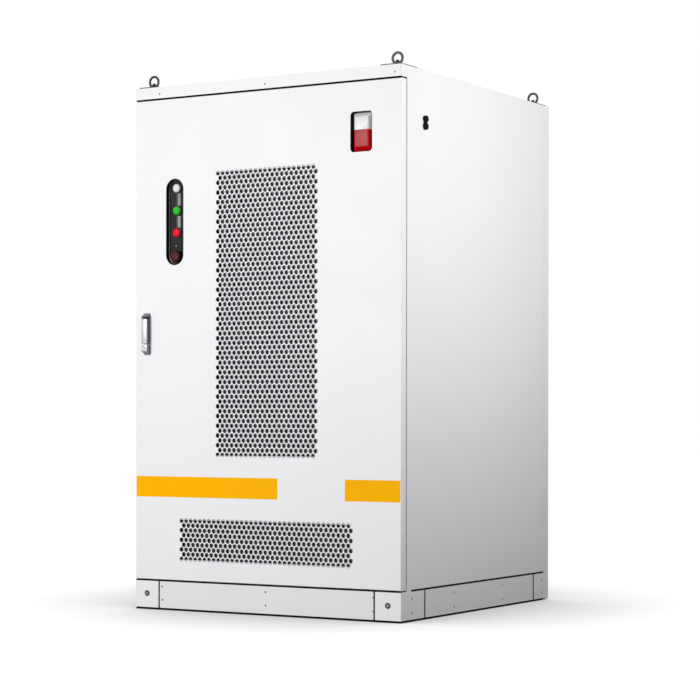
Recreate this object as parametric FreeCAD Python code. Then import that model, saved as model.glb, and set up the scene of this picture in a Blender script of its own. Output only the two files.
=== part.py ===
import FreeCAD, Part
import math
import os

from FreeCAD import Vector

# Battery storage cabinet in millimetres.
# The origin is the middle of the plinth's underside. +X is the right side seen
# from the front, +Y is the rear and +Z is up. The door is at the front, at -Y.

# Overall size
cabinet_width = 1056.0
cabinet_depth = 1096.0
cabinet_height = 1800.0

# Flat sides of a small round piece that nothing turns in
small_round_sides = 16

# Flats in each rounded end of the indicator window
slot_end_flats = 8

# Sheet metal and the gaps between pieces
sheet = 2.0
heavy_sheet = 3.0
seat_gap = 0.3
seam_gap = 0.8
running_gap = 0.05

# Plinth
plinth_height = 99.0
plinth_corner_width = 98.0
front_corner_length = 156.0
rear_corner_length = 79.0
plinth_flange = 45.0
plinth_tab_reach = 22.0
plinth_tab_margin = 18.0
plinth_toe_height = 5.0
cover_corner_gap = 3.0
side_cover_gap = 5.0
anchor_inset_x = 58.0
anchor_inset_y = 60.0
anchor_radius = 7.0
plinth_bolt_inset = 49.0
plinth_bolt_height = 55.0
plinth_bolt_head_radius = 9.0
plinth_bolt_head_height = 6.0

# Frame of posts and rails
post_size = 60.0
rail_height = 60.0
rail_depth = 45.0
tube_wall = 3.0
post_cap = 6.0
floor_sheet = 3.0
cable_entry_width = 420.0
cable_entry_depth = 150.0
cable_entry_rear_margin = 110.0

# Side panels, roof and rear cover
side_front_strip = 30.0
side_seam_height = 4.0
side_flange = 24.0
rear_cover_depth = 42.0

# Fascia above the door
fascia_height = 40.0
fascia_flange_gap = 0.5

# Lifting plates and eye bolts
lifting_plate_width = 76.0
lifting_plate_length = 112.0
lifting_plate_thickness = 5.0
lifting_plate_margin = 8.0
eye_inset_x = 42.0
eye_inset_y = 47.0
eye_ring_radius = 22.5
eye_ring_sides = 14
eye_hole_radius = 14.0
eye_ring_thickness = 9.0
eye_collar_radius = 12.5
eye_collar_sides = 8
eye_collar_height = 6.0

# Blanking plugs on the right side panel
plug_depth_from_front = 152.0
plug_drop = 172.5
plug_spacing = 24.0
plug_web_width = 13.0
plug_radius = 11.0
plug_crown_radius = 7.0
plug_rim = 4.0
plug_reach = 12.0

# Door
door_depth = 32.0
door_gap = 4.0
door_end_gap = 5.0
door_lip = 42.0
door_bend_radius = 2.5
hinge_inset = 11.0
hinge_setback = 12.0
hinge_pin_radius = 5.0
hinge_bush_size = 16.0
hinge_bush_length = 22.0
hinge_pin_engagement = 20.0
hinge_pin_tail = 12.0
hinge_collar_radius = 8.0
hinge_collar_sides = 6

# Perforated fields of the door, with hexagonal holes in staggered rows
tall_field_width = 405.0
tall_field_bottom = 531.5
tall_field_top_margin = 261.5
tall_field_offset = 6.0
low_field_width = 690.0
low_field_height = 155.0
low_field_middle = 243.5
hole_spacing = 64.0
hole_across_flats = 49.7
filter_border = 22.0
filter_thickness = 12.0

# Indicator window with its lamps and emergency button
window_inset = 163.5
window_middle = 1332.5
window_width = 73.0
window_height = 297.0
tray_depth = 15.0
tray_flange = 10.0
white_lamp_height = 1449.0
green_lamp_height = 1372.0
red_lamp_height = 1296.0
button_height = 1214.5
lamp_bezel_radius = 15.0
lamp_bezel_thickness = 3.0
lamp_lens_base_radius = 13.5
lamp_lens_tip_radius = 9.0
lamp_lens_length = 8.0
lamp_block_size = 24.0
lamp_block_length = 32.0
lamp_neck_size = 16.0
button_head_radius = 20.0
button_head_length = 10.0
button_crown_radius = 16.0
button_stem_size = 14.0
button_travel = 6.0
button_collar_size = 26.0
button_collar_thickness = 3.0
button_block_length = 30.0

# Alarm behind its cut-out
alarm_inset = 151.0
alarm_drop = 163.0
alarm_cut_width = 83.0
alarm_cut_height = 132.0
alarm_cut_radius = 13.0
alarm_border = 3.5
alarm_depth = 48.0
alarm_lens_share = 0.45
alarm_lens_depth = 16.0
alarm_lean = 11.5
alarm_ear = 14.0
alarm_wall = 3.0

# Lock with its handle, cylinder and rods
lock_inset = 49.0
lock_width = 22.0
lock_bottom = 878.0
lock_top = 1023.0
lock_reach = 21.0
lock_floor = 4.0
lock_slant = 13.0
lock_nose = 1.0
lock_lever_top = 1003.0
lock_lever_bottom = 916.5
lock_lever_thickness = 12.0
lock_gap = 7.0
key_block_clearance = 3.0
lock_pivot_drop = 10.0
lever_pin_setback = 6.5
lever_pin_radius = 2.0
lever_pin_half_length = 8.5
lever_tongue = 8.0
lever_tongue_slack = 0.6
lever_chamfer = 5.0
rotor_shaft_radius = 7.0
cam_reach = 24.0
cam_thickness = 3.0
cam_width = 16.0
key_radius = 6.0
key_length = 12.0
key_slot_width = 1.6
key_slot_height = 7.0
rod_width = 16.0
rod_thickness = 4.0
rod_offset = 17.5
rod_setback = 18.0
rod_overlap = 15.0
rod_tip_reach = 2.0
keeper_slack = 3.0
guide_size = 30.0
guide_height = 16.0
guide_end_margin = 60.0

# Stiffeners inside the door
stiffener_width = 40.0
stiffener_depth = 20.0
stiffener_side_margin = 88.0
upper_stiffener_drop = 45.0
lower_stiffener_height = 368.0

# Door seal on the body
seal_width = 12.0
seal_side_inset = 29.0
seal_end_inset = 2.0

# Battery rack and its modules
rack_width = 482.0
rack_left_margin = 66.0
rack_front_depth = 120.0
rack_depth = 680.0
upright_width = 30.0
upright_depth = 40.0
upright_wall = 3.0
module_spacing = 180.0
module_height = 165.0
module_depth = 600.0
module_side_gap = 2.0
module_start = 40.0
shelf_leg = 25.0
shelf_wall = 2.0
rack_top_margin = 25.0
rack_head_room = 60.0
plate_thickness = 3.0
plate_margin = 3.0
grip_height = 90.0
grip_reach = 30.0
grip_bar = 8.0
grip_inset = 26.0
terminal_size = 16.0
terminal_length = 18.0
terminal_spacing = 60.0
display_width = 90.0
display_height = 30.0
display_depth = 2.0

# Converter, its fan and the switch plate above it
bay_gap = 24.0
bay_right_margin = 66.0
converter_height = 600.0
converter_depth = 560.0
fan_size = 172.0
fan_depth = 38.0
fan_height = 400.0
fan_duct_radius = 80.0
fan_duct_sides = 24
fan_hub_radius = 34.0
fan_tip_gap = 2.0
fan_blade_count = 6
fan_blade_chord = 34.0
fan_blade_thickness = 3.0
fan_blade_pitch = 35.0
fan_spoke_width = 10.0
fan_spoke_depth = 6.0
fan_shaft_radius = 4.0
fan_shaft_length = 10.0
fan_boss_radius = 12.0
switch_plate_setback = 180.0
switch_plate_head_room = 116.0
switch_plate_flange = 40.0
breaker_width = 216.0
breaker_height = 130.0
breaker_depth = 70.0
toggle_width = 150.0
toggle_radius = 9.0
toggle_reach = 24.0
toggle_thickness = 8.0
toggle_lean = 25.0
isolator_size = 110.0
isolator_depth = 60.0
isolator_knob_length = 64.0
isolator_knob_depth = 22.0
isolator_grip_width = 14.0
isolator_shaft_radius = 6.0
isolator_shaft_length = 20.0
controller_side_margin = 59.0
controller_height = 200.0
controller_depth = 60.0
busbar_side_margin = 29.0
busbar_height = 30.0
busbar_thickness = 5.0
busbar_spacing = 60.0
standoff_radius = 11.0
standoff_length = 30.0
standoff_inset = 40.0
gaps_on_switch_plate = 5

# Planes and points worked out from the sizes above
left = -cabinet_width / 2
right = cabinet_width / 2
front = -cabinet_depth / 2
rear = cabinet_depth / 2
body_front = front + door_depth + door_gap
frame_front = body_front + sheet + seat_gap
frame_side = cabinet_width / 2 - sheet - seat_gap
frame_rear = rear - sheet - seat_gap
rear_cover_front = rear - rear_cover_depth
side_panel_rear = rear_cover_front - seam_gap
frame_top = cabinet_height - sheet
fascia_bottom = cabinet_height - fascia_height
door_bottom = plinth_height + door_end_gap
door_top = fascia_bottom - door_end_gap
skin_back = front + sheet
hinge_x = right - hinge_inset
hinge_y = front + hinge_setback
floor_level = plinth_height + rail_height
floor_top = floor_level + floor_sheet
window_x = left + window_inset
alarm_x = right - alarm_inset
alarm_middle = door_top - alarm_drop
plug_height = cabinet_height - plug_drop
tall_field_top = door_top - tall_field_top_margin
tall_field_height = tall_field_top - tall_field_bottom
tall_field_middle = (tall_field_top + tall_field_bottom) / 2
tall_mat_left = tall_field_offset - tall_field_width / 2 - filter_border
tall_mat_right = tall_field_offset + tall_field_width / 2 + filter_border
left_stiffener_x = (window_x + window_width / 2 + tray_flange + tall_mat_left) / 2
right_stiffener_x = (tall_mat_right + alarm_x - alarm_cut_width / 2) / 2
upper_stiffener_height = door_top - upper_stiffener_drop
lock_x = left + lock_inset
lock_pivot_z = lock_lever_top - lock_pivot_drop
lever_front = front - lock_reach
lever_back = lever_front + lock_lever_thickness
lever_pin_y = lever_front + lever_pin_setback
key_z = (lock_bottom + lock_slant + lock_lever_bottom - key_block_clearance) / 2
rod_front = front + rod_setback
tray_face = skin_back + tray_depth
rack_left = left + rack_left_margin
rack_right = rack_left + rack_width
rack_front = front + rack_front_depth
rack_middle = (rack_left + rack_right) / 2
module_width = rack_width - 2 * upright_width - 2 * shelf_wall - 2 * module_side_gap
module_space = frame_top - rail_height - rack_head_room - rack_top_margin - floor_top - module_start
module_count = int(module_space / module_spacing)
rack_top = floor_top + module_start + module_count * module_spacing + rack_top_margin
bay_left = rack_right + bay_gap
bay_right = right - bay_right_margin
bay_middle = (bay_left + bay_right) / 2
controller_width = bay_right - bay_left - 2 * controller_side_margin
busbar_length = bay_right - bay_left - 2 * busbar_side_margin
converter_top = floor_top + converter_height
switch_plate_front = rack_front + switch_plate_setback
fan_z = floor_top + fan_height
switch_plate_height = frame_top - rail_height - switch_plate_head_room - converter_top
busbar_pair_height = busbar_spacing + busbar_height
switchgear_height = isolator_size + breaker_height + controller_height + busbar_pair_height
switchgear_gap = (switch_plate_height - switchgear_height) / gaps_on_switch_plate
isolator_z = converter_top + switchgear_gap + isolator_size / 2
breaker_z = isolator_z + isolator_size / 2 + switchgear_gap + breaker_height / 2
controller_z = breaker_z + breaker_height / 2 + switchgear_gap + controller_height / 2
busbar_z = controller_z + controller_height / 2 + switchgear_gap + busbar_pair_height / 2


def box(x_span, y_span, z_span):
    """A block between two values on each axis."""
    size_x = x_span[1] - x_span[0]
    size_y = y_span[1] - y_span[0]
    size_z = z_span[1] - z_span[0]
    return Part.makeBox(size_x, size_y, size_z, Vector(x_span[0], y_span[0], z_span[0]))


def rod_y(radius, x, z, y_span):
    """A cylinder along Y."""
    length = y_span[1] - y_span[0]
    return Part.makeCylinder(radius, length, Vector(x, y_span[0], z), Vector(0, 1, 0))


def rod_z(radius, x, y, z_span):
    """An upright cylinder."""
    length = z_span[1] - z_span[0]
    return Part.makeCylinder(radius, length, Vector(x, y, z_span[0]), Vector(0, 0, 1))


def polygon_points(radius, sides, turn):
    """The corners of a regular polygon as pairs, with its corners on the radius."""
    points = []
    for index in range(sides):
        angle = math.radians(turn + 360.0 * index / sides)
        points.append((radius * math.cos(angle), radius * math.sin(angle)))
    return points


def many_sided_y(radius, sides, x, z, y_span):
    """A prism with flat sides along Y."""
    half_step = 180.0 / sides
    points = [Vector(x + u, y_span[0], z + v) for u, v in polygon_points(radius, sides, half_step)]
    return prism(points, Vector(0, y_span[1] - y_span[0], 0))


def many_sided_z(radius, sides, x, y, z_span):
    """An upright prism with flat sides."""
    half_step = 180.0 / sides
    points = [Vector(x + u, y + v, z_span[0]) for u, v in polygon_points(radius, sides, half_step)]
    return prism(points, Vector(0, 0, z_span[1] - z_span[0]))


def many_sided_taper(radii, centre, direction, start, end):
    """A small tapered piece with flat sides, along the X or Y direction between two distances."""
    rings = []
    half_step = 180.0 / small_round_sides
    across = Vector(direction.y, direction.x, 0)
    for radius, distance in ((radii[0], start), (radii[1], end)):
        middle = centre + direction * distance
        corners = polygon_points(radius, small_round_sides, half_step)
        rings.append([middle + across * u + Vector(0, 0, v) for u, v in corners])
    faces = [outline_face(rings[0]), outline_face(rings[1])]
    for index in range(small_round_sides):
        near = index - 1
        faces.append(outline_face([rings[0][near], rings[0][index], rings[1][index], rings[1][near]]))
    return Part.makeSolid(Part.makeShell(faces))


def outline_face(points):
    """A flat face inside a closed outline of points."""
    return Part.Face(Part.makePolygon(points + [points[0]]))


def prism(points, direction):
    """A flat outline of points, pushed along a direction."""
    return outline_face(points).extrude(direction)


def prism_x(outline, x_span):
    """An outline of (y, z) points pushed along X."""
    points = [Vector(x_span[0], y, z) for y, z in outline]
    return prism(points, Vector(x_span[1] - x_span[0], 0, 0))


def join(pieces):
    """One solid from pieces that share faces or volume."""
    return pieces[0].multiFuse(pieces[1:]).removeSplitter()


def group(pieces):
    """Separate solids that belong to one node."""
    return Part.makeCompound(pieces)


def side_span(side, inner, outer):
    """The X span between two distances from the middle, on the side +1 or -1."""
    if side > 0:
        return (inner, outer)
    return (-outer, -inner)


def tube(x_span, y_span, z_span, axis):
    """A square tube with both ends open, along the axis X, Y or Z."""
    outer = box(x_span, y_span, z_span)
    spans = []
    for name, span in (("X", x_span), ("Y", y_span), ("Z", z_span)):
        if name == axis:
            spans.append(span)
        else:
            spans.append((span[0] + tube_wall, span[1] - tube_wall))
    return outer.cut(box(*spans))


def obround(width, height, x, z, y_span):
    """A slot with rounded ends made of short flats, upright, pushed along Y."""
    radius = width / 2
    reach = height / 2 - radius
    points = []
    for end in (1, -1):
        for index in range(slot_end_flats + 1):
            angle = math.pi * index / slot_end_flats
            u = end * radius * math.cos(angle)
            v = end * (reach + radius * math.sin(angle))
            points.append(Vector(x + u, y_span[0], z + v))
    return prism(points, Vector(0, y_span[1] - y_span[0], 0))


def rounded_block(width, height, radius, x, z, y_span):
    """A block with four round corners, pushed along Y."""
    block = box((x - width / 2, x + width / 2), y_span, (z - height / 2, z + height / 2))
    return block.makeFillet(radius, edges_along_y(block))


def edges_along_y(shape):
    """The straight edges that run from front to rear."""
    return [edge for edge in shape.Edges if edge.BoundBox.YLength > edge.BoundBox.DiagonalLength / 2]


# Plinth

def plinth_corner(side, at_front):
    """A box corner of the plinth, open towards the middle, with a flange at top and bottom."""
    inner = cabinet_width / 2 - plinth_corner_width
    outer = cabinet_width / 2
    if at_front:
        wall = (front, front + heavy_sheet)
        side_wall = (front, front + front_corner_length)
        flange = side_wall
        flange_outer = outer
        anchor_y = front + anchor_inset_y
    else:
        wall = (frame_rear - heavy_sheet, frame_rear)
        side_wall = (side_panel_rear - rear_corner_length, side_panel_rear)
        flange = (side_wall[0], frame_rear)
        flange_outer = frame_side
        anchor_y = rear - anchor_inset_y
    height = (plinth_toe_height, plinth_height)
    pieces = [
        box(side_span(side, outer - heavy_sheet, outer), side_wall, height),
        box(side_span(side, inner, flange_outer), wall, height),
        box(side_span(side, inner, flange_outer), flange, (plinth_height - heavy_sheet, plinth_height)),
    ]
    pieces += plinth_toe(side, side_wall, wall, flange, at_front)
    pieces.append(plinth_side_tab(side, side_wall, at_front))
    pieces.append(plinth_end_tab(side, wall, at_front))
    corner = join(pieces)
    anchor = rod_z(anchor_radius, side * (outer - anchor_inset_x), anchor_y, (0, heavy_sheet))
    corner = corner.cut(anchor)
    if at_front:
        corner = corner.cut(plinth_top_hole(side))
    return corner


def plinth_toe(side, side_wall, wall, flange, at_front):
    """The foot of a corner: a step inwards, a low toe wall and the flange that stands on the floor."""
    inner = cabinet_width / 2 - plinth_corner_width
    outer = cabinet_width / 2
    toe_outer = outer - heavy_sheet
    step = (plinth_toe_height, plinth_toe_height + heavy_sheet)
    toe = (0, step[1])
    if at_front:
        toe_wall = (wall[0] + heavy_sheet, wall[1] + heavy_sheet)
        step_depth = (wall[0], toe_wall[1])
        side_toe = (toe_wall[0], side_wall[1])
        foot = (toe_wall[0], flange[1])
    else:
        toe_wall = (wall[0] - heavy_sheet, wall[1] - heavy_sheet)
        step_depth = (toe_wall[0], wall[1])
        side_toe = side_wall
        foot = (flange[0], toe_wall[1])
    return [
        box(side_span(side, toe_outer - heavy_sheet, outer), side_wall, step),
        box(side_span(side, toe_outer - heavy_sheet, toe_outer), side_toe, toe),
        box(side_span(side, inner, toe_outer), step_depth, step),
        box(side_span(side, inner, toe_outer), toe_wall, toe),
        box(side_span(side, inner, toe_outer), foot, (0, heavy_sheet)),
    ]


def plinth_side_tab(side, side_wall, at_front):
    """The tab behind the end of a side cover, which the cover is screwed to."""
    seat = cabinet_width / 2 - sheet - seat_gap
    height = (plinth_tab_margin, plinth_height - plinth_tab_margin)
    if at_front:
        reach = (side_wall[1] - plinth_tab_margin, side_wall[1] + plinth_tab_reach)
    else:
        reach = (side_wall[0] - plinth_tab_reach, side_wall[0] + plinth_tab_margin)
    return box(side_span(side, seat - heavy_sheet, seat), reach, height)


def plinth_end_tab(side, wall, at_front):
    """The tab behind the end of the front or rear cover."""
    inner = cabinet_width / 2 - plinth_corner_width
    height = (plinth_tab_margin, plinth_height - plinth_tab_margin)
    if at_front:
        seat = wall[0] + sheet + seat_gap
        depth = (seat, seat + heavy_sheet)
    else:
        seat = wall[1] - sheet - seat_gap
        depth = (seat - heavy_sheet, seat)
    return box(side_span(side, inner - plinth_tab_reach, inner + plinth_tab_margin), depth, height)


def plinth_top_hole(side):
    """The right corner holds the lower hinge pin and the left one keeps the lower rod."""
    height = (plinth_height - heavy_sheet, plinth_height)
    if side > 0:
        return rod_z(hinge_pin_radius + running_gap, hinge_x, hinge_y, height)
    return keeper_slot(lock_x + rod_offset, height)


def keeper_slot(x, height):
    """A slot that a lock rod's tip enters when the rod is pushed past its rest place."""
    half = rod_width / 2 + keeper_slack
    depth = (rod_front - keeper_slack, rod_front + rod_thickness + keeper_slack)
    return box((x - half, x + half), depth, height)


def plinth_end_cover(at_front):
    """The folded cover between two corners, with a flange at top and bottom."""
    reach = cabinet_width / 2 - plinth_corner_width - cover_corner_gap
    height = (plinth_toe_height, plinth_height - seat_gap)
    if at_front:
        face = (front, front + sheet)
        flange = (front, front + plinth_flange)
    else:
        face = (frame_rear - sheet, frame_rear)
        flange = (frame_rear - plinth_flange, frame_rear)
    return join([
        box((-reach, reach), face, height),
        box((-reach, reach), flange, (height[0], height[0] + sheet)),
        box((-reach, reach), flange, (height[1] - sheet, height[1])),
    ])


def plinth_side_cover(side):
    reach = (
        front + front_corner_length + side_cover_gap,
        side_panel_rear - rear_corner_length - side_cover_gap,
    )
    outer = cabinet_width / 2
    height = (plinth_toe_height, plinth_height - seat_gap)
    return join([
        box(side_span(side, outer - sheet, outer), reach, height),
        box(side_span(side, outer - plinth_flange, outer), reach, (height[0], height[0] + sheet)),
        box(side_span(side, outer - plinth_flange, outer), reach, (height[1] - sheet, height[1])),
    ])


def plinth_bolts():
    """The round head of a bolt on the front of each front corner."""
    pieces = []
    for side in (-1, 1):
        x = side * (cabinet_width / 2 - plinth_bolt_inset)
        span = (front - plinth_bolt_head_height, front)
        pieces.append(many_sided_y(plinth_bolt_head_radius, small_round_sides, x, plinth_bolt_height, span))
    return group(pieces)


# Frame

def corner_posts():
    """Four square tubes that stand on the plinth corners, each with a cap for its eye bolt."""
    pieces = []
    for side in (-1, 1):
        width = side_span(side, frame_side - post_size, frame_side)
        for depth in ((frame_front, frame_front + post_size), (frame_rear - post_size, frame_rear)):
            shaft = tube(width, depth, (plinth_height, frame_top - post_cap), "Z")
            cap = box(width, depth, (frame_top - post_cap, frame_top))
            pieces.append(join([shaft, cap]))
    return group(pieces)


def rails(z_span):
    """Four tubes that tie the posts together at one level."""
    inner_x = frame_side - post_size - seat_gap
    inner_front = frame_front + post_size + seat_gap
    inner_rear = frame_rear - post_size - seat_gap
    across = (-inner_x, inner_x)
    along = (inner_front, inner_rear)
    pieces = [
        tube(across, (frame_front, frame_front + rail_depth), z_span, "X"),
        tube(across, (frame_rear - rail_depth, frame_rear), z_span, "X"),
    ]
    for side in (-1, 1):
        width = side_span(side, frame_side - rail_depth, frame_side)
        pieces.append(tube(width, along, z_span, "Y"))
    return pieces


def floor_plate():
    """The floor between the posts, with a cut-out at the rear for the cables."""
    post_inner_x = frame_side - post_size - seat_gap
    post_inner_front = frame_front + post_size + seat_gap
    post_inner_rear = frame_rear - post_size - seat_gap
    thickness = (floor_level, floor_top)
    plate = join([
        box((-post_inner_x, post_inner_x), (frame_front, frame_rear), thickness),
        box((-frame_side, frame_side), (post_inner_front, post_inner_rear), thickness),
    ])
    half = cable_entry_width / 2
    entry_rear = frame_rear - cable_entry_rear_margin
    return plate.cut(box((-half, half), (entry_rear - cable_entry_depth, entry_rear), thickness))


# Skin of the body

def side_panel(side):
    """A side sheet with a front strip down to the plinth and a tab beside the fascia."""
    top = cabinet_height
    strip_end = body_front + side_front_strip
    lower = plinth_height + side_seam_height
    outline = [
        (body_front, plinth_height),
        (strip_end, plinth_height),
        (strip_end, lower),
        (side_panel_rear, lower),
        (side_panel_rear, top),
        (front, top),
        (front, fascia_bottom),
        (body_front, fascia_bottom),
    ]
    outer = cabinet_width / 2
    panel = prism_x(outline, side_span(side, outer - sheet, outer))
    flange_x = side_span(side, outer - side_flange, outer)
    flange = box(flange_x, (body_front, body_front + sheet), (plinth_height, fascia_bottom))
    return join([panel, flange])


def roof_panel():
    width = (-frame_side, frame_side)
    return box(width, (body_front + fascia_flange_gap, side_panel_rear), (frame_top, cabinet_height))


def rear_cover():
    """A shallow pan over the rear of the frame, with returns at its sides and top."""
    height = (plinth_toe_height, cabinet_height)
    outer = cabinet_width / 2
    pieces = [
        box((-outer, outer), (rear - sheet, rear), height),
        box((-outer, outer), (rear_cover_front, rear), (frame_top, cabinet_height)),
    ]
    for side in (-1, 1):
        pieces.append(box(side_span(side, outer - sheet, outer), (rear_cover_front, rear), height))
    return join(pieces)


def fascia():
    """The rail above the door, folded to a channel, with the top hinge pin and rod keeper in its sole."""
    width = (-frame_side, frame_side)
    sole = (fascia_bottom, fascia_bottom + heavy_sheet)
    rail = join([
        box(width, (front, front + sheet), (fascia_bottom, cabinet_height)),
        box(width, (front, body_front), (frame_top, cabinet_height)),
        box(width, (front, body_front + sheet), sole),
    ])
    rail = rail.cut(rod_z(hinge_pin_radius + running_gap, hinge_x, hinge_y, sole))
    return rail.cut(keeper_slot(lock_x - rod_offset, sole))


# Lifting gear

def eye_places():
    x = cabinet_width / 2 - eye_inset_x
    y = cabinet_depth / 2 - eye_inset_y
    return [(side * x, end * y, side, end) for side in (-1, 1) for end in (-1, 1)]


def lifting_plates():
    """A plate on the roof under each eye bolt."""
    outer_x = cabinet_width / 2 - lifting_plate_margin
    outer_y = cabinet_depth / 2 - lifting_plate_margin
    height = (cabinet_height, cabinet_height + lifting_plate_thickness)
    pieces = []
    for _, _, side, end in eye_places():
        width = side_span(side, outer_x - lifting_plate_width, outer_x)
        length = side_span(end, outer_y - lifting_plate_length, outer_y)
        pieces.append(box(width, length, height))
    return group(pieces)


def eye_bolt(x, y):
    """A ring on a round collar, with its hole along Y."""
    seat = cabinet_height + lifting_plate_thickness
    centre = seat + eye_ring_radius
    half = eye_ring_thickness / 2
    ring = many_sided_y(eye_ring_radius, eye_ring_sides, x, centre, (y - half, y + half))
    collar = many_sided_z(eye_collar_radius, eye_collar_sides, x, y, (seat, seat + eye_collar_height))
    hole = rod_y(eye_hole_radius, x, centre, (y - eye_collar_radius, y + eye_collar_radius))
    return join([ring, collar]).cut(hole)


def eye_bolts():
    return group([eye_bolt(place[0], place[1]) for place in eye_places()])


def blanking_plugs():
    """Two round-headed plugs, one above the other, joined by a web, on the right side panel."""
    outward = Vector(1, 0, 0)
    pieces = []
    for step in (-0.5, 0.5):
        centre = Vector(right, front + plug_depth_from_front, plug_height + step * plug_spacing)
        rim_radii = (plug_radius, plug_radius)
        crown_radii = (plug_radius, plug_crown_radius)
        rim = many_sided_taper(rim_radii, centre, outward, 0, plug_rim)
        crown = many_sided_taper(crown_radii, centre, outward, plug_rim, plug_reach)
        pieces += [rim, crown]
    middle = front + plug_depth_from_front
    web = (middle - plug_web_width / 2, middle + plug_web_width / 2)
    reach = (plug_height - plug_spacing / 2, plug_height + plug_spacing / 2)
    pieces.append(box((right, right + plug_reach - heavy_sheet), web, reach))
    return join(pieces)


# Hinge

def hinge_pins():
    """The upper pin hangs in the fascia's sole. The lower one stands in the plinth."""
    head = (fascia_bottom + heavy_sheet, fascia_bottom + 2 * heavy_sheet)
    upper = join([
        rod_z(hinge_pin_radius, hinge_x, hinge_y, (door_top - hinge_pin_engagement, head[1])),
        many_sided_z(hinge_collar_radius, hinge_collar_sides, hinge_x, hinge_y, head),
    ])
    collar = (plinth_height, door_bottom - seat_gap)
    low_end = plinth_height - hinge_pin_tail
    lower = join([
        rod_z(hinge_pin_radius, hinge_x, hinge_y, (low_end, door_bottom + hinge_pin_engagement)),
        many_sided_z(hinge_collar_radius, hinge_collar_sides, hinge_x, hinge_y, collar),
    ])
    return group([upper, lower])


def hinge_bushes():
    """A square bush in the door's top and bottom returns, which turns on the pin."""
    pieces = []
    for span in bush_spans():
        outer = bush_block(0, span)
        pieces.append(outer.cut(rod_z(hinge_pin_radius + running_gap, hinge_x, hinge_y, span)))
    return group(pieces)


def bush_block(growth, z_span):
    """The outside of a hinge bush, or its hole in the door when it is grown a little."""
    half = hinge_bush_size / 2 + growth
    return box((hinge_x - half, hinge_x + half), (hinge_y - half, hinge_y + half), z_span)


def bush_spans():
    return [(door_top - hinge_bush_length, door_top), (door_bottom, door_bottom + hinge_bush_length)]


# Door

def field_holes(width, height, x_middle, z_middle):
    """Hole tools in staggered rows that fill a field of the door."""
    row_pitch = hole_spacing * math.sqrt(3) / 2
    corner_height = hole_across_flats * 2 / math.sqrt(3)
    columns = int((width - hole_across_flats - hole_spacing / 2) / hole_spacing) + 1
    rows = int((height - corner_height) / row_pitch) + 1
    tools = []
    for row in range(rows):
        z = z_middle + (row - (rows - 1) / 2) * row_pitch
        shift = hole_spacing / 4 if row % 2 else -hole_spacing / 4
        for column in range(columns):
            x = x_middle + shift + (column - (columns - 1) / 2) * hole_spacing
            tools.append(many_sided_y(corner_height / 2, 6, x, z, (front - sheet, front + 2 * sheet)))
    return tools


def door_skin():
    """The door's folded shell, with all its holes."""
    back = front + door_depth
    block = box((left, right), (front, back), (door_bottom, door_top))
    front_edges = [edge for edge in block.Edges if edge.BoundBox.YMax < front + sheet]
    block = block.makeFillet(door_bend_radius, front_edges)
    hollow_width = (left + sheet, right - sheet)
    hollow_height = (door_bottom + sheet, door_top - sheet)
    hollow = box(hollow_width, (front + sheet, back - sheet), hollow_height)
    mouth = box(
        (left + door_lip, right - door_lip),
        (back - sheet, back),
        (door_bottom + door_lip, door_top - door_lip),
    )
    shell = block.cut(hollow).cut(mouth)
    through = (front - sheet, front + 2 * sheet)
    tools = [
        obround(window_width, window_height, window_x, window_middle, through),
        rounded_block(alarm_cut_width, alarm_cut_height, alarm_cut_radius, alarm_x, alarm_middle, through),
        rod_y(rotor_shaft_radius + sheet, lock_x, lock_pivot_z, through),
    ]
    tools += door_end_holes()
    tools += field_holes(tall_field_width, tall_field_height, tall_field_offset, tall_field_middle)
    tools += field_holes(low_field_width, low_field_height, 0, low_field_middle)
    return shell.cut(group(tools))


def door_end_holes():
    """Holes in the top and bottom returns for the hinge bushes and the lock rods."""
    tools = []
    half = rod_width / 2 + seat_gap
    depth = (rod_front - seat_gap, rod_front + rod_thickness + seat_gap)
    returns = [(door_top - sheet, door_top), (door_bottom, door_bottom + sheet)]
    for height, rod_x in zip(returns, (lock_x - rod_offset, lock_x + rod_offset)):
        tools.append(bush_block(running_gap, height))
        tools.append(box((rod_x - half, rod_x + half), depth, height))
    return tools


def channel(length_span, middle, upright):
    """A hat-shaped stiffener on the back of the door's sheet, open towards the sheet."""
    depth = (skin_back, skin_back + stiffener_depth)
    width = (middle - stiffener_width / 2, middle + stiffener_width / 2)
    inside_width = (width[0] + sheet, width[1] - sheet)
    inside_depth = (depth[0], depth[1] - sheet)
    if upright:
        return box(width, depth, length_span).cut(box(inside_width, inside_depth, length_span))
    return box(length_span, depth, width).cut(box(length_span, inside_depth, inside_width))


def door_stiffeners():
    across = (left + stiffener_side_margin, right - stiffener_side_margin)
    low_end = lower_stiffener_height + stiffener_width / 2 + seat_gap
    high_end = upper_stiffener_height - stiffener_width / 2 - seat_gap
    return group([
        channel(across, upper_stiffener_height, False),
        channel(across, lower_stiffener_height, False),
        channel((low_end, high_end), left_stiffener_x, True),
        channel((low_end, high_end), right_stiffener_x, True),
    ])


def filter_mat(width, height, x_middle, z_middle):
    """A filter mat behind a perforated field."""
    half_width = width / 2 + filter_border
    half_height = height / 2 + filter_border
    depth = (skin_back + seat_gap, skin_back + seat_gap + filter_thickness)
    x_span = (x_middle - half_width, x_middle + half_width)
    return box(x_span, depth, (z_middle - half_height, z_middle + half_height))


def filter_mats():
    return group([
        filter_mat(tall_field_width, tall_field_height, tall_field_offset, tall_field_middle),
        filter_mat(low_field_width, low_field_height, 0, low_field_middle),
    ])


def door_seal():
    """The soft seal that runs round the body's front, between frame and door."""
    outer_x = cabinet_width / 2 - seal_side_inset
    inner_x = outer_x - seal_width
    low = door_bottom + seal_end_inset
    high = door_top - seal_end_inset
    depth = (front + door_depth + seat_gap, frame_front)
    ring = box((-outer_x, outer_x), depth, (low, high))
    return ring.cut(box((-inner_x, inner_x), depth, (low + seal_width, high - seal_width)))


# Indicator window

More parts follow.
